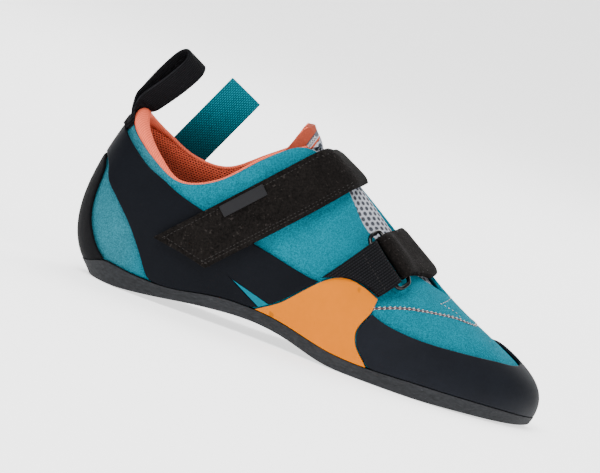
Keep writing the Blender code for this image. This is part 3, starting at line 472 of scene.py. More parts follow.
def add_node(tree, kind, inputs=None, **options):
    """Adds a node, with values or links for its inputs by name or number."""
    node = tree.nodes.new(kind)
    for name, value in options.items():
        setattr(node, name, value)
    for key, value in (inputs or {}).items():
        if isinstance(value, bpy.types.NodeSocket):
            tree.links.new(value, node.inputs[key])
        else:
            node.inputs[key].default_value = value
    return node


def sums(tree, operation, first, second=0.0, third=0.0):
    """Result of a math node."""
    return add_node(tree, "ShaderNodeMath", {0: first, 1: second, 2: third}, operation=operation).outputs[0]


def blend(tree, share, first, second):
    """Colour between two colours."""
    return add_node(tree, "ShaderNodeMix", {0: share, 6: first, 7: second}, data_type="RGBA").outputs[2]


def run_along(tree, places, way):
    """Distance of places along a direction."""
    node = add_node(tree, "ShaderNodeVectorMath", {0: places, 1: tuple(way)}, operation="DOT_PRODUCT")
    return node.outputs["Value"]


def axes_of(tree, places):
    return add_node(tree, "ShaderNodeSeparateXYZ", {0: places}).outputs


def ramp(tree, value, low, high, start=0.0, end=1.0):
    """Smooth step of a value from low to high."""
    return add_node(tree, "ShaderNodeMapRange",
                    {0: value, 1: low, 2: high, 3: start, 4: end}, interpolation_type="SMOOTHSTEP").outputs[0]


def rgba(colour, brightness=1.0):
    return (*(min(channel * brightness, 1.0) for channel in colour), 1.0)


def new_group(name, inputs, outputs):
    """Shader group with sockets given as (name, kind, default) and (name, kind)."""
    tree = bpy.data.node_groups.new(name, "ShaderNodeTree")
    for label, kind, default in inputs:
        socket = tree.interface.new_socket(label, in_out="INPUT", socket_type="NodeSocket" + kind)
        if default is not None:
            socket.default_value = default
    for label, kind in outputs:
        tree.interface.new_socket(label, in_out="OUTPUT", socket_type="NodeSocket" + kind)
    return tree, tree.nodes.new("NodeGroupInput").outputs, tree.nodes.new("NodeGroupOutput").inputs


def mottle_group(name):
    """Cloudy colour with fine grain and specks, for suede, rubber and brushed cloth."""
    grey = (0.5, 0.5, 0.5, 1.0)
    tree, given, out = new_group(
        name,
        (("Vector", "Vector", None), ("Dark", "Color", grey), ("Light", "Color", grey),
         ("Speck", "Color", grey), ("Cloud Scale", "Float", 40.0), ("Grain Scale", "Float", 1500.0),
         ("Grain Share", "Float", 0.5), ("Contrast", "Float", 2.0), ("Speck Level", "Float", 1.0)),
        (("Colour", "Color"), ("Height", "Float"), ("Cloud", "Float")))
    noises = {}
    for label, scale, detail in (("cloud", given["Cloud Scale"], 4.0), ("grain", given["Grain Scale"], 3.0)):
        noises[label] = add_node(tree, "ShaderNodeTexNoise",
                                 {"Vector": given["Vector"], "Scale": scale, "Detail": detail,
                                  "Roughness": 0.65}).outputs[0]
    shared = sums(tree, "MULTIPLY", noises["grain"], given["Grain Share"])
    rest = sums(tree, "MULTIPLY", noises["cloud"], sums(tree, "SUBTRACT", 1.0, given["Grain Share"]))
    centred = sums(tree, "SUBTRACT", sums(tree, "ADD", shared, rest), 0.5)
    share = add_node(tree, "ShaderNodeMath", {0: centred, 1: given["Contrast"], 2: 0.5},
                     operation="MULTIPLY_ADD", use_clamp=True).outputs[0]
    colour = blend(tree, share, given["Dark"], given["Light"])
    speck_scale = sums(tree, "MULTIPLY", given["Grain Scale"], 0.7)
    speck = add_node(tree, "ShaderNodeTexNoise",
                     {"Vector": given["Vector"], "Scale": speck_scale, "Detail": 1.0}).outputs[0]
    speck_end = sums(tree, "ADD", given["Speck Level"], 0.08)
    specked = ramp(tree, speck, given["Speck Level"], speck_end)
    tree.links.new(blend(tree, specked, colour, given["Speck"]), out["Colour"])
    tree.links.new(noises["grain"], out["Height"])
    tree.links.new(noises["cloud"], out["Cloud"])
    return tree


def holes_group(name):
    """Mask of oval holes in staggered rows: 1 in a hole. The vector's X and Y are in metres."""
    tree, given, out = new_group(
        name,
        (("Vector", "Vector", None), ("Pitch", "Float", 0.003), ("Row Pitch", "Float", 0.003),
         ("Hole Size", "Float", 0.3), ("Softness", "Float", 0.12)),
        (("Mask", "Float"),))
    axes = axes_of(tree, given["Vector"])
    row = sums(tree, "DIVIDE", axes[1], given["Row Pitch"])
    row_number = sums(tree, "FLOOR", row)
    stagger = sums(tree, "MULTIPLY", sums(tree, "FLOORED_MODULO", row_number, 2.0), 0.5)
    column = sums(tree, "ADD", sums(tree, "DIVIDE", axes[0], given["Pitch"]), stagger)
    across = sums(tree, "SUBTRACT", sums(tree, "FRACT", column), 0.5)
    up = sums(tree, "SUBTRACT", sums(tree, "FRACT", row), 0.5)
    square = sums(tree, "ADD", sums(tree, "MULTIPLY", across, across), sums(tree, "MULTIPLY", up, up))
    distance = sums(tree, "SQRT", square)
    inner = sums(tree, "SUBTRACT", given["Hole Size"], given["Softness"])
    outer = sums(tree, "ADD", given["Hole Size"], given["Softness"])
    tree.links.new(ramp(tree, distance, inner, outer, 1.0, 0.0), out["Mask"])
    return tree


def weave_group(name):
    """Height of ribbed webbing: ribs along X, each crossed by offset threads."""
    tree, given, out = new_group(
        name,
        (("Vector", "Vector", None), ("Rib Pitch", "Float", 0.0012), ("Thread Pitch", "Float", 0.0009)),
        (("Height", "Float"),))
    axes = axes_of(tree, given["Vector"])
    rib = sums(tree, "DIVIDE", axes[1], given["Rib Pitch"])
    offset = sums(tree, "MULTIPLY", sums(tree, "FLOOR", rib), 0.5)
    thread = sums(tree, "ADD", sums(tree, "DIVIDE", axes[0], given["Thread Pitch"]), offset)
    rib_wave = sums(tree, "SINE", sums(tree, "MULTIPLY", sums(tree, "FRACT", rib), math.pi))
    thread_wave = sums(tree, "ABSOLUTE", sums(tree, "SINE", sums(tree, "MULTIPLY", thread, math.pi)))
    tree.links.new(sums(tree, "MULTIPLY", rib_wave, sums(tree, "MULTIPLY_ADD", thread_wave, 0.75, 0.25)),
                   out["Height"])
    return tree


EFFECTS = {"Mottle": mottle_group, "Staggered holes": holes_group, "Webbing weave": weave_group}


# Finishes

def new_finish(name, roughness, gloss=0.25):
    """Empty finish: its roughness, and the strength of its highlights."""
    finish = bpy.data.materials.new(name)
    finish.use_nodes = True
    shader = finish.node_tree.nodes["Principled BSDF"]
    shader.inputs["Roughness"].default_value = roughness
    shader.inputs["Specular IOR Level"].default_value = gloss
    return finish, finish.node_tree, shader


def object_places(tree, turn_y=0.0, scale=(1.0, 1.0, 1.0)):
    """Object coordinates, turned about Y and scaled."""
    places = add_node(tree, "ShaderNodeTexCoord").outputs["Object"]
    return add_node(tree, "ShaderNodeMapping",
                    {"Vector": places, "Rotation": (0.0, turn_y, 0.0), "Scale": scale}).outputs[0]


def add_effect(tree, name, **inputs):
    """Outputs of a shared effect, built on its first use and placed with values for its inputs."""
    group = bpy.data.node_groups.get(name) or EFFECTS[name](name)
    sockets = {key.replace("_", " ").title(): value for key, value in inputs.items()}
    return add_node(tree, "ShaderNodeGroup", sockets, node_tree=group).outputs


def add_mottle(tree, places, dark, light, **inputs):
    """Outputs of the mottle, with specks of the light colour unless they have their own."""
    inputs.setdefault("speck", light)
    return add_effect(tree, "Mottle", vector=places, dark=dark, light=light, **inputs)


def cover(tree, shader, colour, height, relief):
    """Gives a shader its colour, and a height as relief."""
    tree.links.new(colour, shader.inputs["Base Color"])
    bump = add_node(tree, "ShaderNodeBump", {"Height": height, "Distance": relief, "Strength": 1.0})
    tree.links.new(bump.outputs[0], shader.inputs["Normal"])


def mottled_finish(name, colour, shades, roughness, relief, gloss=0.25, speck=None, roughness_swing=0.0,
                   scale=(1.0, 1.0, 1.0), **inputs):
    """Finish of one colour, mottled from its dark to its light shade, with its grain in relief."""
    finish, tree, shader = new_finish(name, roughness, gloss)
    dark, light = (rgba(colour, shade) for shade in shades)
    if speck:
        inputs["speck"] = rgba(colour, speck)
    mottle = add_mottle(tree, object_places(tree, scale=scale), dark, light, **inputs)
    if roughness_swing:
        rough = sums(tree, "MULTIPLY_ADD", mottle["Cloud"], roughness_swing, roughness - roughness_swing / 2)
        tree.links.new(rough, shader.inputs["Roughness"])
    cover(tree, shader, mottle["Colour"], mottle["Height"], relief)
    return finish


def suede_finish(colours):
    """Napped suede, paler and dusty towards the heel."""
    shades, dust_starts, dust_full = (0.62, 1.3), place(48, 0, 0).x, place(26, 0, 0).x
    finish, tree, shader = new_finish("Suede", 0.95, gloss=0.06)
    places = object_places(tree)
    x = axes_of(tree, places)[0]
    dusty = ramp(tree, x, dust_starts, dust_full)
    dark, light = (blend(tree, dusty, rgba(colours.suede, shade), rgba(colours.suede_dust, shade))
                   for shade in shades)
    mottle = add_mottle(tree, places, dark, light, cloud_scale=60.0, grain_scale=1600.0, grain_share=0.82,
                        contrast=4.6)
    cover(tree, shader, mottle["Colour"], mottle["Height"], 0.6 * MM)
    return finish


def lining_finish(colours, ribbed=False):
    """Lining of padded mesh, brightened by painted light: rows of small holes darkened by painted shade deep
    inside, or slanting ribs on the rim.
    """
    # painted light brightens the lining near the collar's edge, and painted shade darkens it deep inside,
    # between these depths
    lining_painted_light, lining_painted_shade = 1.2, 0.42
    painted_shade_start_depth, painted_shade_full_depth = 0.5 * MM, 11 * MM
    rib_pitch, rib_slant, rib_strength = 1.1 * MM, math.radians(25), 0.35
    finish, tree, shader = new_finish("Lining rim" if ribbed else "Lining", 0.85, gloss=0.1)
    places = add_node(tree, "ShaderNodeUVMap", uv_map=CLOTH_MAP).outputs[0]
    # the lining brightened by painted light, as at the collar's edge
    cloth = rgba(colours.lining, lining_painted_light)
    if ribbed:
        turned = add_node(tree, "ShaderNodeMapping",
                          {"Vector": places, "Rotation": (0.0, 0.0, rib_slant)}).outputs[0]
        run = axes_of(tree, turned)[0]
        wave = sums(tree, "SINE", sums(tree, "MULTIPLY", run, 2 * math.pi / rib_pitch))
        mask = ramp(tree, wave, 0.2, -1.0, 0.0, rib_strength)
    else:
        mask = add_effect(tree, "Staggered holes", vector=places, pitch=1.5 * MM, row_pitch=1.1 * MM,
                          hole_size=0.27, softness=0.16)["Mask"]
        # painted shade: the lining grows darker the deeper it lies below the collar's edge
        depth = add_node(tree, "ShaderNodeAttribute", attribute_name=DEPTH_MARK).outputs["Fac"]
        painted_shade_share = ramp(tree, depth, painted_shade_start_depth, painted_shade_full_depth)
        cloth = blend(tree, painted_shade_share, cloth, rgba(colours.lining, lining_painted_shade))
    colour = blend(tree, mask, cloth, rgba(colours.lining_hole))
    cover(tree, shader, colour, sums(tree, "SUBTRACT", 1.0, mask), 0.4 * MM)
    return finish


def from_tape_edge(tree):
    """Distance from the tongue's top edge, across the tape."""
    _, across = side_ways(TAPE_SLOPE)
    reach = run_along(tree, object_places(tree), across)
    return sums(tree, "SUBTRACT", reach, across.dot(place(*TAPE_EDGE)))


def tongue_finish(colours, pitch):
    """Air mesh of the tongue: staggered oval holes in pale cloth, and tape along its top edge, with a painted
    shadow under the tape's zigzag.
    """
    blur = 0.25                    # of the edges between tape, the painted shadow under the zigzag, piping and mesh
    finish, tree, shader = new_finish("Tongue mesh", 0.85, gloss=0.15)
    places = object_places(tree, turn_y=math.radians(-35))
    mask = add_effect(tree, "Staggered holes", vector=places, pitch=pitch, row_pitch=pitch,
                      hole_size=0.35, softness=0.1)["Mask"]
    mottle = add_mottle(tree, places, rgba(colours.tongue, 0.82), rgba(colours.tongue, 1.1),
                        cloud_scale=200.0, grain_scale=2500.0, grain_share=0.7, contrast=2.0)
    reach = from_tape_edge(tree)
    off_tape, off_painted_shadow, on_piping, off_piping = (
        ramp(tree, reach, (TAPE_WIDTH + start) * MM, (TAPE_WIDTH + start + blur) * MM)
        for start in (0.0, 2.1, 2.6, 3.6))
    mask = sums(tree, "MULTIPLY", mask, off_piping)
    tape = add_mottle(tree, places, rgba(colours.lining, 0.32), rgba(colours.lining, 0.5),
                      cloud_scale=150.0, grain_scale=1500.0, grain_share=0.6, contrast=2.4)
    # painted shadow: a dark strip in the holes' colour, under the zigzag stitches
    cloth = blend(tree, off_tape, tape["Colour"], rgba(colours.tongue_hole_and_zigzag_shadow, 1.6))
    cloth = blend(tree, off_painted_shadow, cloth, mottle["Colour"])
    cloth = blend(tree, on_piping, cloth, rgba(colours.lining, 0.6))
    cloth = blend(tree, off_piping, cloth, mottle["Colour"])
    colour = blend(tree, mask, cloth, rgba(colours.tongue_hole_and_zigzag_shadow))
    sunk = sums(tree, "ADD", sums(tree, "MULTIPLY", mask, 2.0), sums(tree, "MULTIPLY", off_tape, 1.5))
    cover(tree, shader, colour, sums(tree, "SUBTRACT", mottle["Height"], sunk), 0.4 * MM)
    return finish


def band_finish(colours):
    """Satin rubber of the tension band, with the slit where suede shows."""
    roughness, suede_roughness = 0.55, 0.9
    finish, tree, shader = new_finish("Band rubber", roughness, gloss=0.05)
    places = object_places(tree)
    mottle = add_mottle(tree, places, rgba(colours.rand, 0.6), rgba(colours.rand, 1.05),
                        cloud_scale=30.0, grain_scale=900.0, grain_share=0.25, contrast=2.0)
    corners = [place(x, 0, z) for x, z in BAND_SLIT]
    middle = sum(corners, Vector()) / len(corners)
    depths = []
    for start, end in zip(corners, corners[1:] + corners[:1]):
        normal = Vector((-(end.z - start.z), 0, end.x - start.x)).normalized()
        if normal.dot(middle - start) < 0:
            normal.negate()
        depths.append(sums(tree, "SUBTRACT", run_along(tree, places, normal), normal.dot(start)))
    inside = sums(tree, "MINIMUM", sums(tree, "MINIMUM", depths[0], depths[1]), depths[2])
    y = axes_of(tree, places)[1]
    near_side = sums(tree, "LESS_THAN", y, 0.0)
    shows, sunk = (sums(tree, "MULTIPLY", ramp(tree, inside, start * MM, full * MM), near_side)
                   for start, full in ((0.35, 0.6), (-0.1, 0.5)))
    colour = blend(tree, shows, mottle["Colour"], rgba(colours.suede, 0.8))
    rough = sums(tree, "MULTIPLY_ADD", shows, suede_roughness - roughness, roughness)
    tree.links.new(rough, shader.inputs["Roughness"])
    fine = sums(tree, "MULTIPLY", mottle["Height"], 0.08)
    cover(tree, shader, colour, sums(tree, "SUBTRACT", fine, sunk), 1.0 * MM)
    return finish


def webbing_finish(name, colour, lean, rib, thread, turn=0.0, painted_shade_heights=None):
    """Ribbed webbing whose ribs run along it.

    lean is its angle in the side view, and turn how far its width turns out of that view, in
    degrees. Its last argument gives heights between which painted shade on its lower part fades to its full
    colour.
    """
    # shades of the weave, and its darker shades under painted shade
    full_shades, painted_shade_levels = (0.2, 2.8), (0.25, 0.6)
    finish, tree, shader = new_finish(name, 0.85, gloss=0.06)
    places = object_places(tree)
    along, across = side_ways(lean)
    turn = math.radians(turn)
    across = across * math.cos(turn) + Vector((0, math.sin(turn), 0))
    flat = add_node(tree, "ShaderNodeCombineXYZ", {0: run_along(tree, places, along),
                                                   1: run_along(tree, places, across)}).outputs[0]
    height = add_effect(tree, "Webbing weave", vector=flat, rib_pitch=rib, thread_pitch=thread)["Height"]
    shades = [rgba(colour, shade) for shade in full_shades]
    # painted shade: darker below the first height, full colour above the second
    if painted_shade_heights:
        z = axes_of(tree, places)[2]
        rise = ramp(tree, z, *painted_shade_heights)
        shades = [blend(tree, rise, rgba(colour, dark), full) for dark, full in zip(painted_shade_levels, shades)]
    cover(tree, shader, blend(tree, height, *shades), height, 0.35 * MM)
    return finish


def ring_finish():
    """Gloss black enamel."""
    finish, tree, shader = new_finish("Ring enamel", 0.2)
    shader.inputs["Coat Roughness"].default_value = 0.1
    shader.inputs["Coat Weight"].default_value = 0.1
    dark, light = rgba(srgb(3, 3, 4)), rgba(srgb(7, 7, 8))
    mottle = add_mottle(tree, object_places(tree), dark, light, cloud_scale=120.0, grain_scale=1500.0,
                        grain_share=0.4, contrast=1.5)
    cover(tree, shader, mottle["Colour"], mottle["Height"], 0.02 * MM)
    return finish


def thread_finish(name, colour):
    return mottled_finish(name, colour, shades=(0.7, 1.1), roughness=0.7, relief=0.1 * MM,
                          cloud_scale=400.0, grain_scale=3000.0)


# Operators

def settings(context):
    return context.scene.shoe_colours, context.scene.shoe_sizes


class SHOE_OT_sole(bpy.types.Operator):
    """Outsole with its sanded edge, and the insole board"""
    bl_idname = "shoe.sole"
    bl_label = "Sole"

    def execute(self, context):
        colours, sizes = settings(context)
        rubber = mottled_finish("Sole rubber", colours.sole, shades=(0.62, 1.35), roughness=0.78,
                                relief=0.25 * MM, gloss=0.12, speck=2.0, cloud_scale=60.0, grain_scale=1100.0,
                                grain_share=0.7, contrast=3.0, speck_level=0.72, scale=(0.3, 0.6, 1.0))
        dress_node("outsole", "sole_sanded", "sole_rubber", rubber, sizes.edge_round, sizes.smoothing)
        board = mottled_finish("Insole cloth", colours.lining, shades=(0.5, 0.8), roughness=0.9,
                               relief=0.2 * MM, cloud_scale=80.0, grain_scale=1800.0,
                               grain_share=0.6, contrast=2.0)
        dress_node("insole", "insole_cloth", "board", board, sizes.edge_round, 1)
        return {"FINISHED"}


class SHOE_OT_upper(bpy.types.Operator):
    """Suede upper, lined inside"""
    bl_idname = "shoe.upper"
    bl_label = "Upper"

    EDGE_ROUND = 0.6 * MM
    SLICE = 8.0 * MM               # the foot's middle is measured within this distance of a face
    LENGTHWISE = 0.3               # how much the direction along the shoe counts there

    def execute(self, context):
        colours, sizes = settings(context)
        upper = node_copy("upper", "upper_suede")
        round_edges(upper, self.EDGE_ROUND)
        give_finishes(upper, suede_finish(colours), lining_finish(colours))
        self.line_inside(upper)
        smooth(upper, sizes.smoothing)
        wrap_uv(upper)
        self.mark_depth(upper)
        put_on(upper, "suede", "upper")
        return {"FINISHED"}

    def line_inside(self, upper):
        """Gives the lining to the faces that look towards the foot's middle line."""
        spots = np.array([vertex.co for vertex in upper.data.vertices])
        lined_up_to = place(LINED_UP_TO, 0, 0).x
        for face in upper.data.polygons:
            centre = np.array(face.center)
            near = spots[np.abs(spots[:, 0] - centre[0]) < self.SLICE]
            inwards = (near.min(axis=0) + near.max(axis=0)) / 2 - centre
            inwards[0] *= self.LENGTHWISE
            lined = np.dot(inwards, face.normal) > 0 and centre[0] < lined_up_to
            face.material_index = int(lined)

    def mark_depth(self, upper):
        """Marks how far each point lies below the collar's edge, for the lining's painted shade."""
        edge = np.array([place(*row[:3]) for row in smooth_rows(COLLAR_LINE, COLLAR_STEPS)])
        spots = np.array([vertex.co for vertex in upper.data.vertices])
        nearest = np.linalg.norm(spots[:, None, :2] - edge[None, :, :2], axis=2).argmin(axis=1)
        layer = upper.data.attributes.new(DEPTH_MARK, "FLOAT", "POINT")
        layer.data.foreach_set("value", (edge[nearest, 2] - spots[:, 2]).astype(np.float32))


class SHOE_OT_collar(bpy.types.Operator):
    """Padded rim of the lining, rolled over the collar's edge"""
    bl_idname = "shoe.collar"
    bl_label = "Collar rim"

    ROUNDNESS = 6

    def execute(self, context):
        rows = smooth_rows(COLLAR_LINE, COLLAR_STEPS)
        travel = np.gradient(rows[:, :2], axis=0)
        travel /= np.linalg.norm(travel, axis=1, keepdims=True)
        inwards = np.stack((travel[:, 1], -travel[:, 0]), axis=1)
        points, radii = [], []
        for (x, y, z, radius, rise, shift), way in zip(rows, inwards):
            points.append(place(x + way[0] * shift, y + way[1] * shift, z + rise))
            radii.append(radius * MM)
        rim = add_tube("collar_rim", points, radii, self.ROUNDNESS)
        tube_uv(rim, points)
        dress(rim, "board", lining_finish(context.scene.shoe_colours, ribbed=True))
        return {"FINISHED"}


class SHOE_OT_tongue(bpy.types.Operator):
    """Air mesh tongue with a padded top, taped along its edge"""
    bl_idname = "shoe.tongue"
    bl_label = "Tongue"

    EDGE_ROUND = 0.5 * MM
    BACKWARDS = -0.5               # faces whose normal's x is below this are lined
    FORWARDS = (-0.1, 0.4)         # normal's x where the padding starts and is full
    PADDED_FROM = (94.5, 96.5)     # heights where it starts and is full
    PADDED_TO = (13.0, 10.0)       # distances from the middle line where it starts and is full

    def execute(self, context):
        colours, sizes = settings(context)
        tongue = node_copy("tongue", "tongue_mesh")
        self.pad_top(tongue)
        round_edges(tongue, self.EDGE_ROUND)
        give_finishes(tongue, tongue_finish(colours, sizes.mesh_pitch), lining_finish(colours))
        for face in tongue.data.polygons:
            face.material_index = int(face.normal.x < self.BACKWARDS)
        smooth(tongue, sizes.smoothing)
        wrap_uv(tongue)
        put_on(tongue, "mesh", "tongue")
        return {"FINISHED"}

    def pad_top(self, tongue):
        """Swells the front of the tongue's top forwards, as its padding does."""
        heights, fronts = TONGUE_TOP
        for vertex in tongue.data.vertices:
            x, y, z = (vertex.co - TABLE_ORIGIN) / MM
            share = share_between(z, *self.PADDED_FROM) * share_between(abs(y), *self.PADDED_TO)
            share *= share_between(vertex.normal.x, *self.FORWARDS)
            front = np.interp(z, heights, fronts)
            vertex.co.x += max(front - x, 0.0) * share * MM


class SHOE_OT_rubber(bpy.types.Operator):
    """Toe rand, heel rand, tension band and side patch"""
    bl_idname = "shoe.rubber"
    bl_label = "Rubber pieces"

    def execute(self, context):
        colours, sizes = settings(context)
        rand = mottled_finish("Rand rubber", colours.rand, shades=(0.85, 1.6), roughness=0.62,
                              relief=0.06 * MM, gloss=0.08, roughness_swing=0.3, cloud_scale=32.0,
                              grain_scale=1100.0, grain_share=0.25, contrast=3.0)
        heel = mottled_finish("Heel rubber", colours.heel_rand, shades=(0.8, 1.2), roughness=0.7,
                              relief=0.12 * MM, gloss=0.04, cloud_scale=40.0, grain_scale=1300.0,
                              grain_share=0.5, contrast=2.4)
        patch = mottled_finish("Patch rubber", colours.patch, shades=(0.84, 1.0), roughness=0.75,
                               relief=0.04 * MM, gloss=0.02, speck=0.6, roughness_swing=0.15,
                               cloud_scale=38.0, grain_scale=260.0, grain_share=0.35, contrast=1.8,
                               speck_level=0.72)
        for node, finish, slot in (("toe_rand", rand, "rand_rubber"), ("heel_rand", heel, "heel_rubber"),
                                   ("tension_band", band_finish(colours), "rand_rubber"),
                                   ("lateral_patch", patch, "patch_rubber")):
            dress_node(node, node + "_moulded", slot, finish, sizes.edge_round, sizes.smoothing)
        return {"FINISHED"}


class SHOE_OT_straps(bpy.types.Operator):
    """Straps, their webbing, rings and bare label"""
    bl_idname = "shoe.straps"
    bl_label = "Straps"

    CLOTH_ROUND = 0.7 * MM
    WEBBING_ROUND = 0.4 * MM
    LABEL_ROUND = 0.2 * MM
    CURL_DEPTH = 1.4               # how far a strap's edges bend down over the instep
    CURL_WIDTH = 4.5
    INSTEP = (22.0, 13.0)          # distances from the middle line where the bend starts and is full
    SLICE_STEP = 4.0               # slices along the strap, where its edges are measured
    SLICE_REACH = 3.0

    def execute(self, context):
        colours, sizes = settings(context)
        levels = sizes.smoothing
        cloth = mottled_finish("Strap cloth", colours.strap, shades=(0.35, 1.9), roughness=0.95,
                               relief=0.6 * MM, gloss=0.05, speck=4.0, cloud_scale=70.0, grain_scale=1000.0,
                               grain_share=0.75, contrast=3.4, speck_level=0.66)
        ring = ring_finish()
        label = mottled_finish("Label", colours.label, shades=(0.85, 1.15), roughness=0.55,
                               relief=0.05 * MM, gloss=0.12, cloud_scale=100.0, grain_scale=2200.0,
                               grain_share=0.6, contrast=1.6)
        for strap in ("upper_strap", "lower_strap"):
            webbing, wire = strap + "_webbing", strap + "_ring"
            ribbed = webbing_finish("Webbing of " + strap, colours.webbing, STRAP_ANGLES[strap],
                                    rib=1.3 * MM, thread=1.2 * MM)
            band = dress_node(strap, strap + "_cloth", "strap", cloth, self.CLOTH_ROUND, levels)
            self.curl_edges(band, STRAP_ANGLES[strap])
            dress_node(webbing, webbing + "_cloth", "webbing", ribbed, self.WEBBING_ROUND, levels)
            dress_node(wire, wire + "_wire", "ring", ring, 0.0, levels)
        dress_node("strap_label", "label_bare", "label", label, self.LABEL_ROUND, 1)
        return {"FINISHED"}

    def curl_edges(self, strap, angle):
        """Bends the strap's two edges down where it crosses the instep."""
        along, across = side_ways(angle)
        spots = np.array([vertex.co - TABLE_ORIGIN for vertex in strap.data.vertices]) / MM
        places = spots @ np.array(across)
        start = self.INSTEP[0]
        middles = np.arange(-start, start + 1, self.SLICE_STEP)
        slices = [places[np.abs(spots[:, 1] - middle) < self.SLICE_REACH] for middle in middles]
        low = np.interp(spots[:, 1], middles, [part.min() for part in slices])
        high = np.interp(spots[:, 1], middles, [part.max() for part in slices])
        inset = share_between(np.minimum(places - low, high - places), 0, self.CURL_WIDTH)
        share = share_between(np.abs(spots[:, 1]), *self.INSTEP)
        for vertex, drop in zip(strap.data.vertices, self.CURL_DEPTH * share * (1 - inset) ** 2):
            vertex.co -= along * float(drop) * MM


class SHOE_OT_loops(bpy.types.Operator):
    """Pull loops at the heel and on the inner side"""
    bl_idname = "shoe.loops"
    bl_label = "Pull loops"

    EDGE_ROUND = 0.35 * MM
    PAINTED_SHADE_HEIGHTS = (66.0, 108.0)         # heights between which painted shade on the side loop's lower part fades to full colour
    ACROSS = 13.0                  # edges longer than this cross the heel loop
    CUTS = 5                       # and are cut this often
    SEATED = (85.0, 77.5)          # heights where the heel loop is free and where it lies on the heel
    HUG = 0.075                    # forward bend of its foot, times the square of y
    FOOT_DROP = 0.7
    EDGE_DROP = 0.04               # further drop towards its edges, times the square of y

    def execute(self, context):
        colours, sizes = settings(context)
        heel = webbing_finish("Heel loop weave", colours.webbing, HEEL_LOOP_LEAN, rib=1.1 * MM,
                              thread=0.8 * MM, turn=HEEL_LOOP_TURN)
        side = webbing_finish("Side loop weave", colours.side_loop, SIDE_LOOP_LEAN, rib=0.9 * MM,
                              thread=1.6 * MM, painted_shade_heights=[height * MM for height in self.PAINTED_SHADE_HEIGHTS])
        for node, slot, finish in (("heel_pull_loop", "webbing", heel),
                                   ("side_pull_loop", "side_loop", side)):
            piece = node_copy(node, node + "_woven")
            if node == "heel_pull_loop":
                self.seat_foot(piece)
            round_edges(piece, self.EDGE_ROUND)
            smooth(piece, sizes.smoothing)
            dress(piece, slot, finish, node)
        return {"FINISHED"}

    def seat_foot(self, loop):
        """Bends the loop's sewn foot round the heel and down to the band's edge."""
        with edit_mode(loop):
            select_edges(loop, lambda edge: edge.calc_length() > self.ACROSS * MM)
            bpy.ops.mesh.subdivide(number_cuts=self.CUTS)
        for vertex in loop.data.vertices:
            y, z = vertex.co.y / MM, vertex.co.z / MM
            share = share_between(z, *self.SEATED)
            share = share * share * (3 - 2 * share)
            vertex.co.x += self.HUG * y * y * share * MM
            vertex.co.z -= (self.FOOT_DROP + self.EDGE_DROP * y * y) * share * MM


class SHOE_OT_stitching(bpy.types.Operator):
    """Seams of the vamp and the throat, the tongue's zigzag, and rows on straps and webbing"""
    bl_idname = "shoe.stitching"
    bl_label = "Stitching"

    # The vamp's rope seam: pale slanting stitches in two rows, over a sunk reddish core
    ROPE_PITCH = 1.5               # in stitch lengths, as are both stitches
    ROPE_STITCH = 0.85
    ROPE_SLANT = 20.0
    ROPE_ASIDE = 0.48 * MM
    ROPE_LIFT = 0.14 * MM
    CORE_STITCH = 1.5
    CORE_WIDTH = 1.5 * MM
    CORE_LIFT = -0.38 * MM
    # Plain seams: pitch, lift off the surface, and length and width of a stitch
    SEAM_PITCH = 1.9 * MM
    SEAM_LIFT = 0.05 * MM
    THROAT_STITCH = (1.2 * MM, 0.32 * MM)
    STRAP_STITCH = (1.3 * MM, 0.36 * MM)
    # Zigzag of the tongue's tape, in the tables' millimetres: its run is along the tape's edge
    ZIGZAG_RUN = (0.6, 11.0)
    ZIGZAG_PITCH = 1.3
    ZIGZAG_STEP = 0.25             # from one leg of the zigzag to the next
    ZIGZAG_WIDTH = 2.0
    ZIGZAG_THREAD = 0.4
    ZIGZAG_LIFT = 0.1
    ZIGZAG_SLANTS = (42.0, -42.0)

    def execute(self, context):
        colours, sizes = settings(context)
        pale = thread_finish("Pale thread", colours.thread)
        accent = thread_finish("Reddish thread", colours.thread_accent)
        dark = thread_finish("Dark thread", colours.thread_dark)
        self.add_rope(sizes.stitch_length, sizes.stitch_width, pale, accent)
        for number, table in enumerate(THROAT_SEAMS, 1):
            rows = seam_rows("upper", table, self.SEAM_PITCH, self.SEAM_LIFT)
            dress(add_stitches(f"throat_seam_{number}", rows, *self.THROAT_STITCH), "suede", pale)
        self.add_zigzag(pale)
        for strap, runs in STRAP_STITCHES.items():
            for number, run in enumerate(runs, 1):
                table = [on_strap(strap, *spot) for spot in run]
                rows = []
                for start, end in zip(table, table[1:]):
                    rows += stitch_rows(strap, start, end, self.SEAM_PITCH, self.SEAM_LIFT)
                dress(add_stitches(f"{strap}_seam_{number}", rows, *self.STRAP_STITCH), "strap", dark)
        return {"FINISHED"}

    def add_rope(self, length, width, pale, accent):
        rows = seam_rows("upper", VAMP_SEAM, length, self.CORE_LIFT)
        core = add_stitches("vamp_seam_accent", rows, length * self.CORE_STITCH, self.CORE_WIDTH)
        dress(core, "suede", accent)
        rows = seam_rows("upper", VAMP_SEAM, length * self.ROPE_PITCH, self.ROPE_LIFT)
        for number, aside in enumerate((self.ROPE_ASIDE, -self.ROPE_ASIDE), 1):
            row = add_stitches(f"vamp_seam_pale_{number}", rows, length * self.ROPE_STITCH, width,
                               self.ROPE_SLANT, aside)
            dress(row, "suede", pale)

    def add_zigzag(self, thread):
        """Zigzag that sews the tape to the tongue, along the tape's lower edge on its outer side."""
        tree = surface_of(bpy.data.objects["tongue_mesh"].data)
        along, across = side_ways(TAPE_SLOPE)
        start = Vector(TAPE_EDGE) + across * (TAPE_WIDTH + 0.5 * self.ZIGZAG_WIDTH)
        for number, slant in enumerate(self.ZIGZAG_SLANTS, 1):
            rows = []
            for run in np.arange(*self.ZIGZAG_RUN, self.ZIGZAG_PITCH):
                spot = start + along * float(run)
                point, normal = seen_on(tree, spot.x + self.ZIGZAG_STEP * number, spot.z)
                rows.append((point + self.ZIGZAG_LIFT * MM * normal, normal))
            piece = add_stitches(f"tongue_zigzag_{number}", rows, self.ZIGZAG_WIDTH * MM,
                                 self.ZIGZAG_THREAD * MM, slant)
            dress(piece, "mesh", thread)


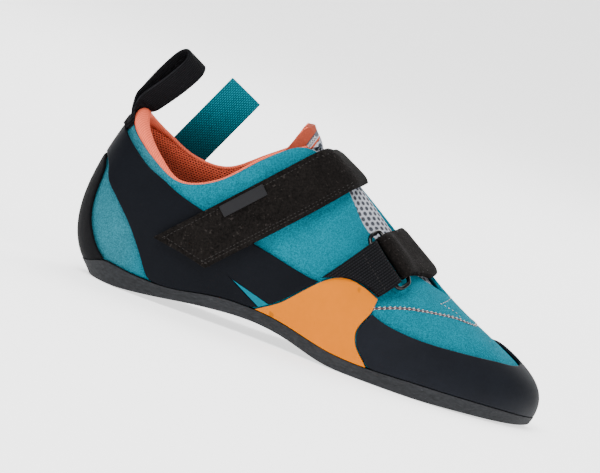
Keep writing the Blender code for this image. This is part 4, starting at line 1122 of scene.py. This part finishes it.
class SHOE_OT_stage(bpy.types.Operator):
    """Floor, backdrop, lights and the photograph's camera"""
    bl_idname = "shoe.stage"
    bl_label = "Stage"

    TARGET = (107.7, 0.0, 52.1)    # what the camera looks at, as a place of the tables
    ELEVATION = 5.0
    ROLL = 19.8
    DISTANCE = 2.4
    VIEW_WIDTH = 0.2952            # seen at the shoe's middle
    SENSOR = 36.0
    FLOOR_SIZE = 8.0
    WALL_HEIGHT = 5.0
    COVE = 1.6                     # rounding between floor and wall
    FLOOR_DROP = 0.1 * MM          # keeps the floor just under the sole
    FLOOR_GLOW = 1.4               # own light of floor and wall
    WORLD_LIGHT = 0.35
    LIT_HEIGHT = 0.04              # the lights point at this height of the shoe
    # Lights: place, size and power
    LIGHTS = (
        ("Key", (-0.5, -1.0, 1.6), 1.2, 46.0),
        ("Fill", (1.3, -1.1, 1.0), 1.4, 14.0),
        ("Back", (0.2, 1.3, 1.6), 1.6, 40.0),
    )

    def execute(self, context):
        self.add_backdrop(context.scene.shoe_colours)
        for name, spot, size, power in self.LIGHTS:
            self.add_light(name, Vector(spot), size, power)
        world = bpy.data.worlds.new("Studio")
        world.use_nodes = True
        background = world.node_tree.nodes["Background"]
        background.inputs["Color"].default_value = (1.0, 1.0, 1.0, 1.0)
        background.inputs["Strength"].default_value = self.WORLD_LIGHT
        context.scene.world = world
        self.add_camera(context.scene)
        return {"FINISHED"}

    def add_backdrop(self, colours):
        """Floor that bends up into a wall behind the shoe."""
        deselect_all()
        bpy.ops.mesh.primitive_plane_add(size=self.FLOOR_SIZE, location=(0, 0, 0))
        floor = bpy.context.view_layer.objects.active
        floor.name = "floor_and_backdrop"
        with edit_mode(floor):
            select_edges(floor, lambda edge: all(v.co.y > 0 for v in edge.verts))
            bpy.ops.mesh.extrude_region_move(TRANSFORM_OT_translate={"value": (0, 0, self.WALL_HEIGHT)})
            select_edges(floor, lambda edge: all(v.co.y > 0 and v.co.z < MM for v in edge.verts))
            bpy.ops.mesh.bevel(offset=self.COVE, segments=16, affect="EDGES")
        bpy.ops.object.shade_smooth()
        floor.data.transform(Matrix.Translation((0, 0, -self.FLOOR_DROP)))
        finish = mottled_finish("Pale floor", colours.floor, shades=(0.99, 1.0), roughness=0.9,
                                relief=0.02 * MM, cloud_scale=3.0, grain_scale=60.0)
        shader = finish.node_tree.nodes["Principled BSDF"]
        shader.inputs["Emission Color"].default_value = rgba(colours.floor)
        shader.inputs["Emission Strength"].default_value = self.FLOOR_GLOW
        floor.data.materials.append(finish)

    def add_light(self, name, spot, size, power):
        data = bpy.data.lights.new(name, "AREA")
        data.shape = "DISK"
        data.size = size
        data.energy = power
        light = bpy.data.objects.new(name, data)
        light.location = spot
        aim = Vector((0, 0, self.LIT_HEIGHT)) - spot
        light.rotation_euler = aim.to_track_quat("-Z", "Y").to_euler()
        bpy.context.scene.collection.objects.link(light)

    def add_camera(self, scene):
        data = bpy.data.cameras.new("Photograph")
        data.sensor_width = self.SENSOR
        data.lens = self.SENSOR * self.DISTANCE / self.VIEW_WIDTH
        data.clip_end = 50.0
        camera = bpy.data.objects.new("Photograph", data)
        rise = math.radians(self.ELEVATION)
        target = place(*self.TARGET)
        back = Vector((0, -math.cos(rise), math.sin(rise)))
        turn = Matrix.Rotation(math.pi / 2 - rise, 4, "X") @ Matrix.Rotation(math.radians(self.ROLL), 4, "Z")
        camera.matrix_world = Matrix.Translation(target + back * self.DISTANCE) @ turn
        scene.collection.objects.link(camera)
        scene.camera = camera


class SHOE_PT_looks(bpy.types.Panel):
    """Lists the shoe's sizes, colours and pieces"""
    bl_label = "Climbing shoe"
    bl_idname = "SHOE_PT_looks"
    bl_space_type = "VIEW_3D"
    bl_region_type = "UI"
    bl_category = "Shoe"

    def draw(self, context):
        for group in (context.scene.shoe_sizes, context.scene.shoe_colours):
            box = self.layout.box()
            for name in group.bl_rna.properties.keys():
                if name not in {"rna_type", "name"}:
                    box.prop(group, name)
        for operator in OPERATORS:
            self.layout.operator(operator.bl_idname)


OPERATORS = (SHOE_OT_sole, SHOE_OT_upper, SHOE_OT_collar, SHOE_OT_tongue, SHOE_OT_rubber,
             SHOE_OT_straps, SHOE_OT_loops, SHOE_OT_stitching, SHOE_OT_stage)
CLASSES = (ShoeColours, ShoeSizes, *OPERATORS, SHOE_PT_looks)


def register():
    for item in CLASSES:
        bpy.utils.register_class(item)
    bpy.types.Scene.shoe_colours = PointerProperty(type=ShoeColours)
    bpy.types.Scene.shoe_sizes = PointerProperty(type=ShoeSizes)


def unregister():
    del bpy.types.Scene.shoe_sizes
    del bpy.types.Scene.shoe_colours
    for item in reversed(CLASSES):
        bpy.utils.unregister_class(item)


def main():
    register()
    for operator in OPERATORS:
        group, name = operator.bl_idname.split(".")
        getattr(getattr(bpy.ops, group), name)()


if __name__ == "__main__":
    main()
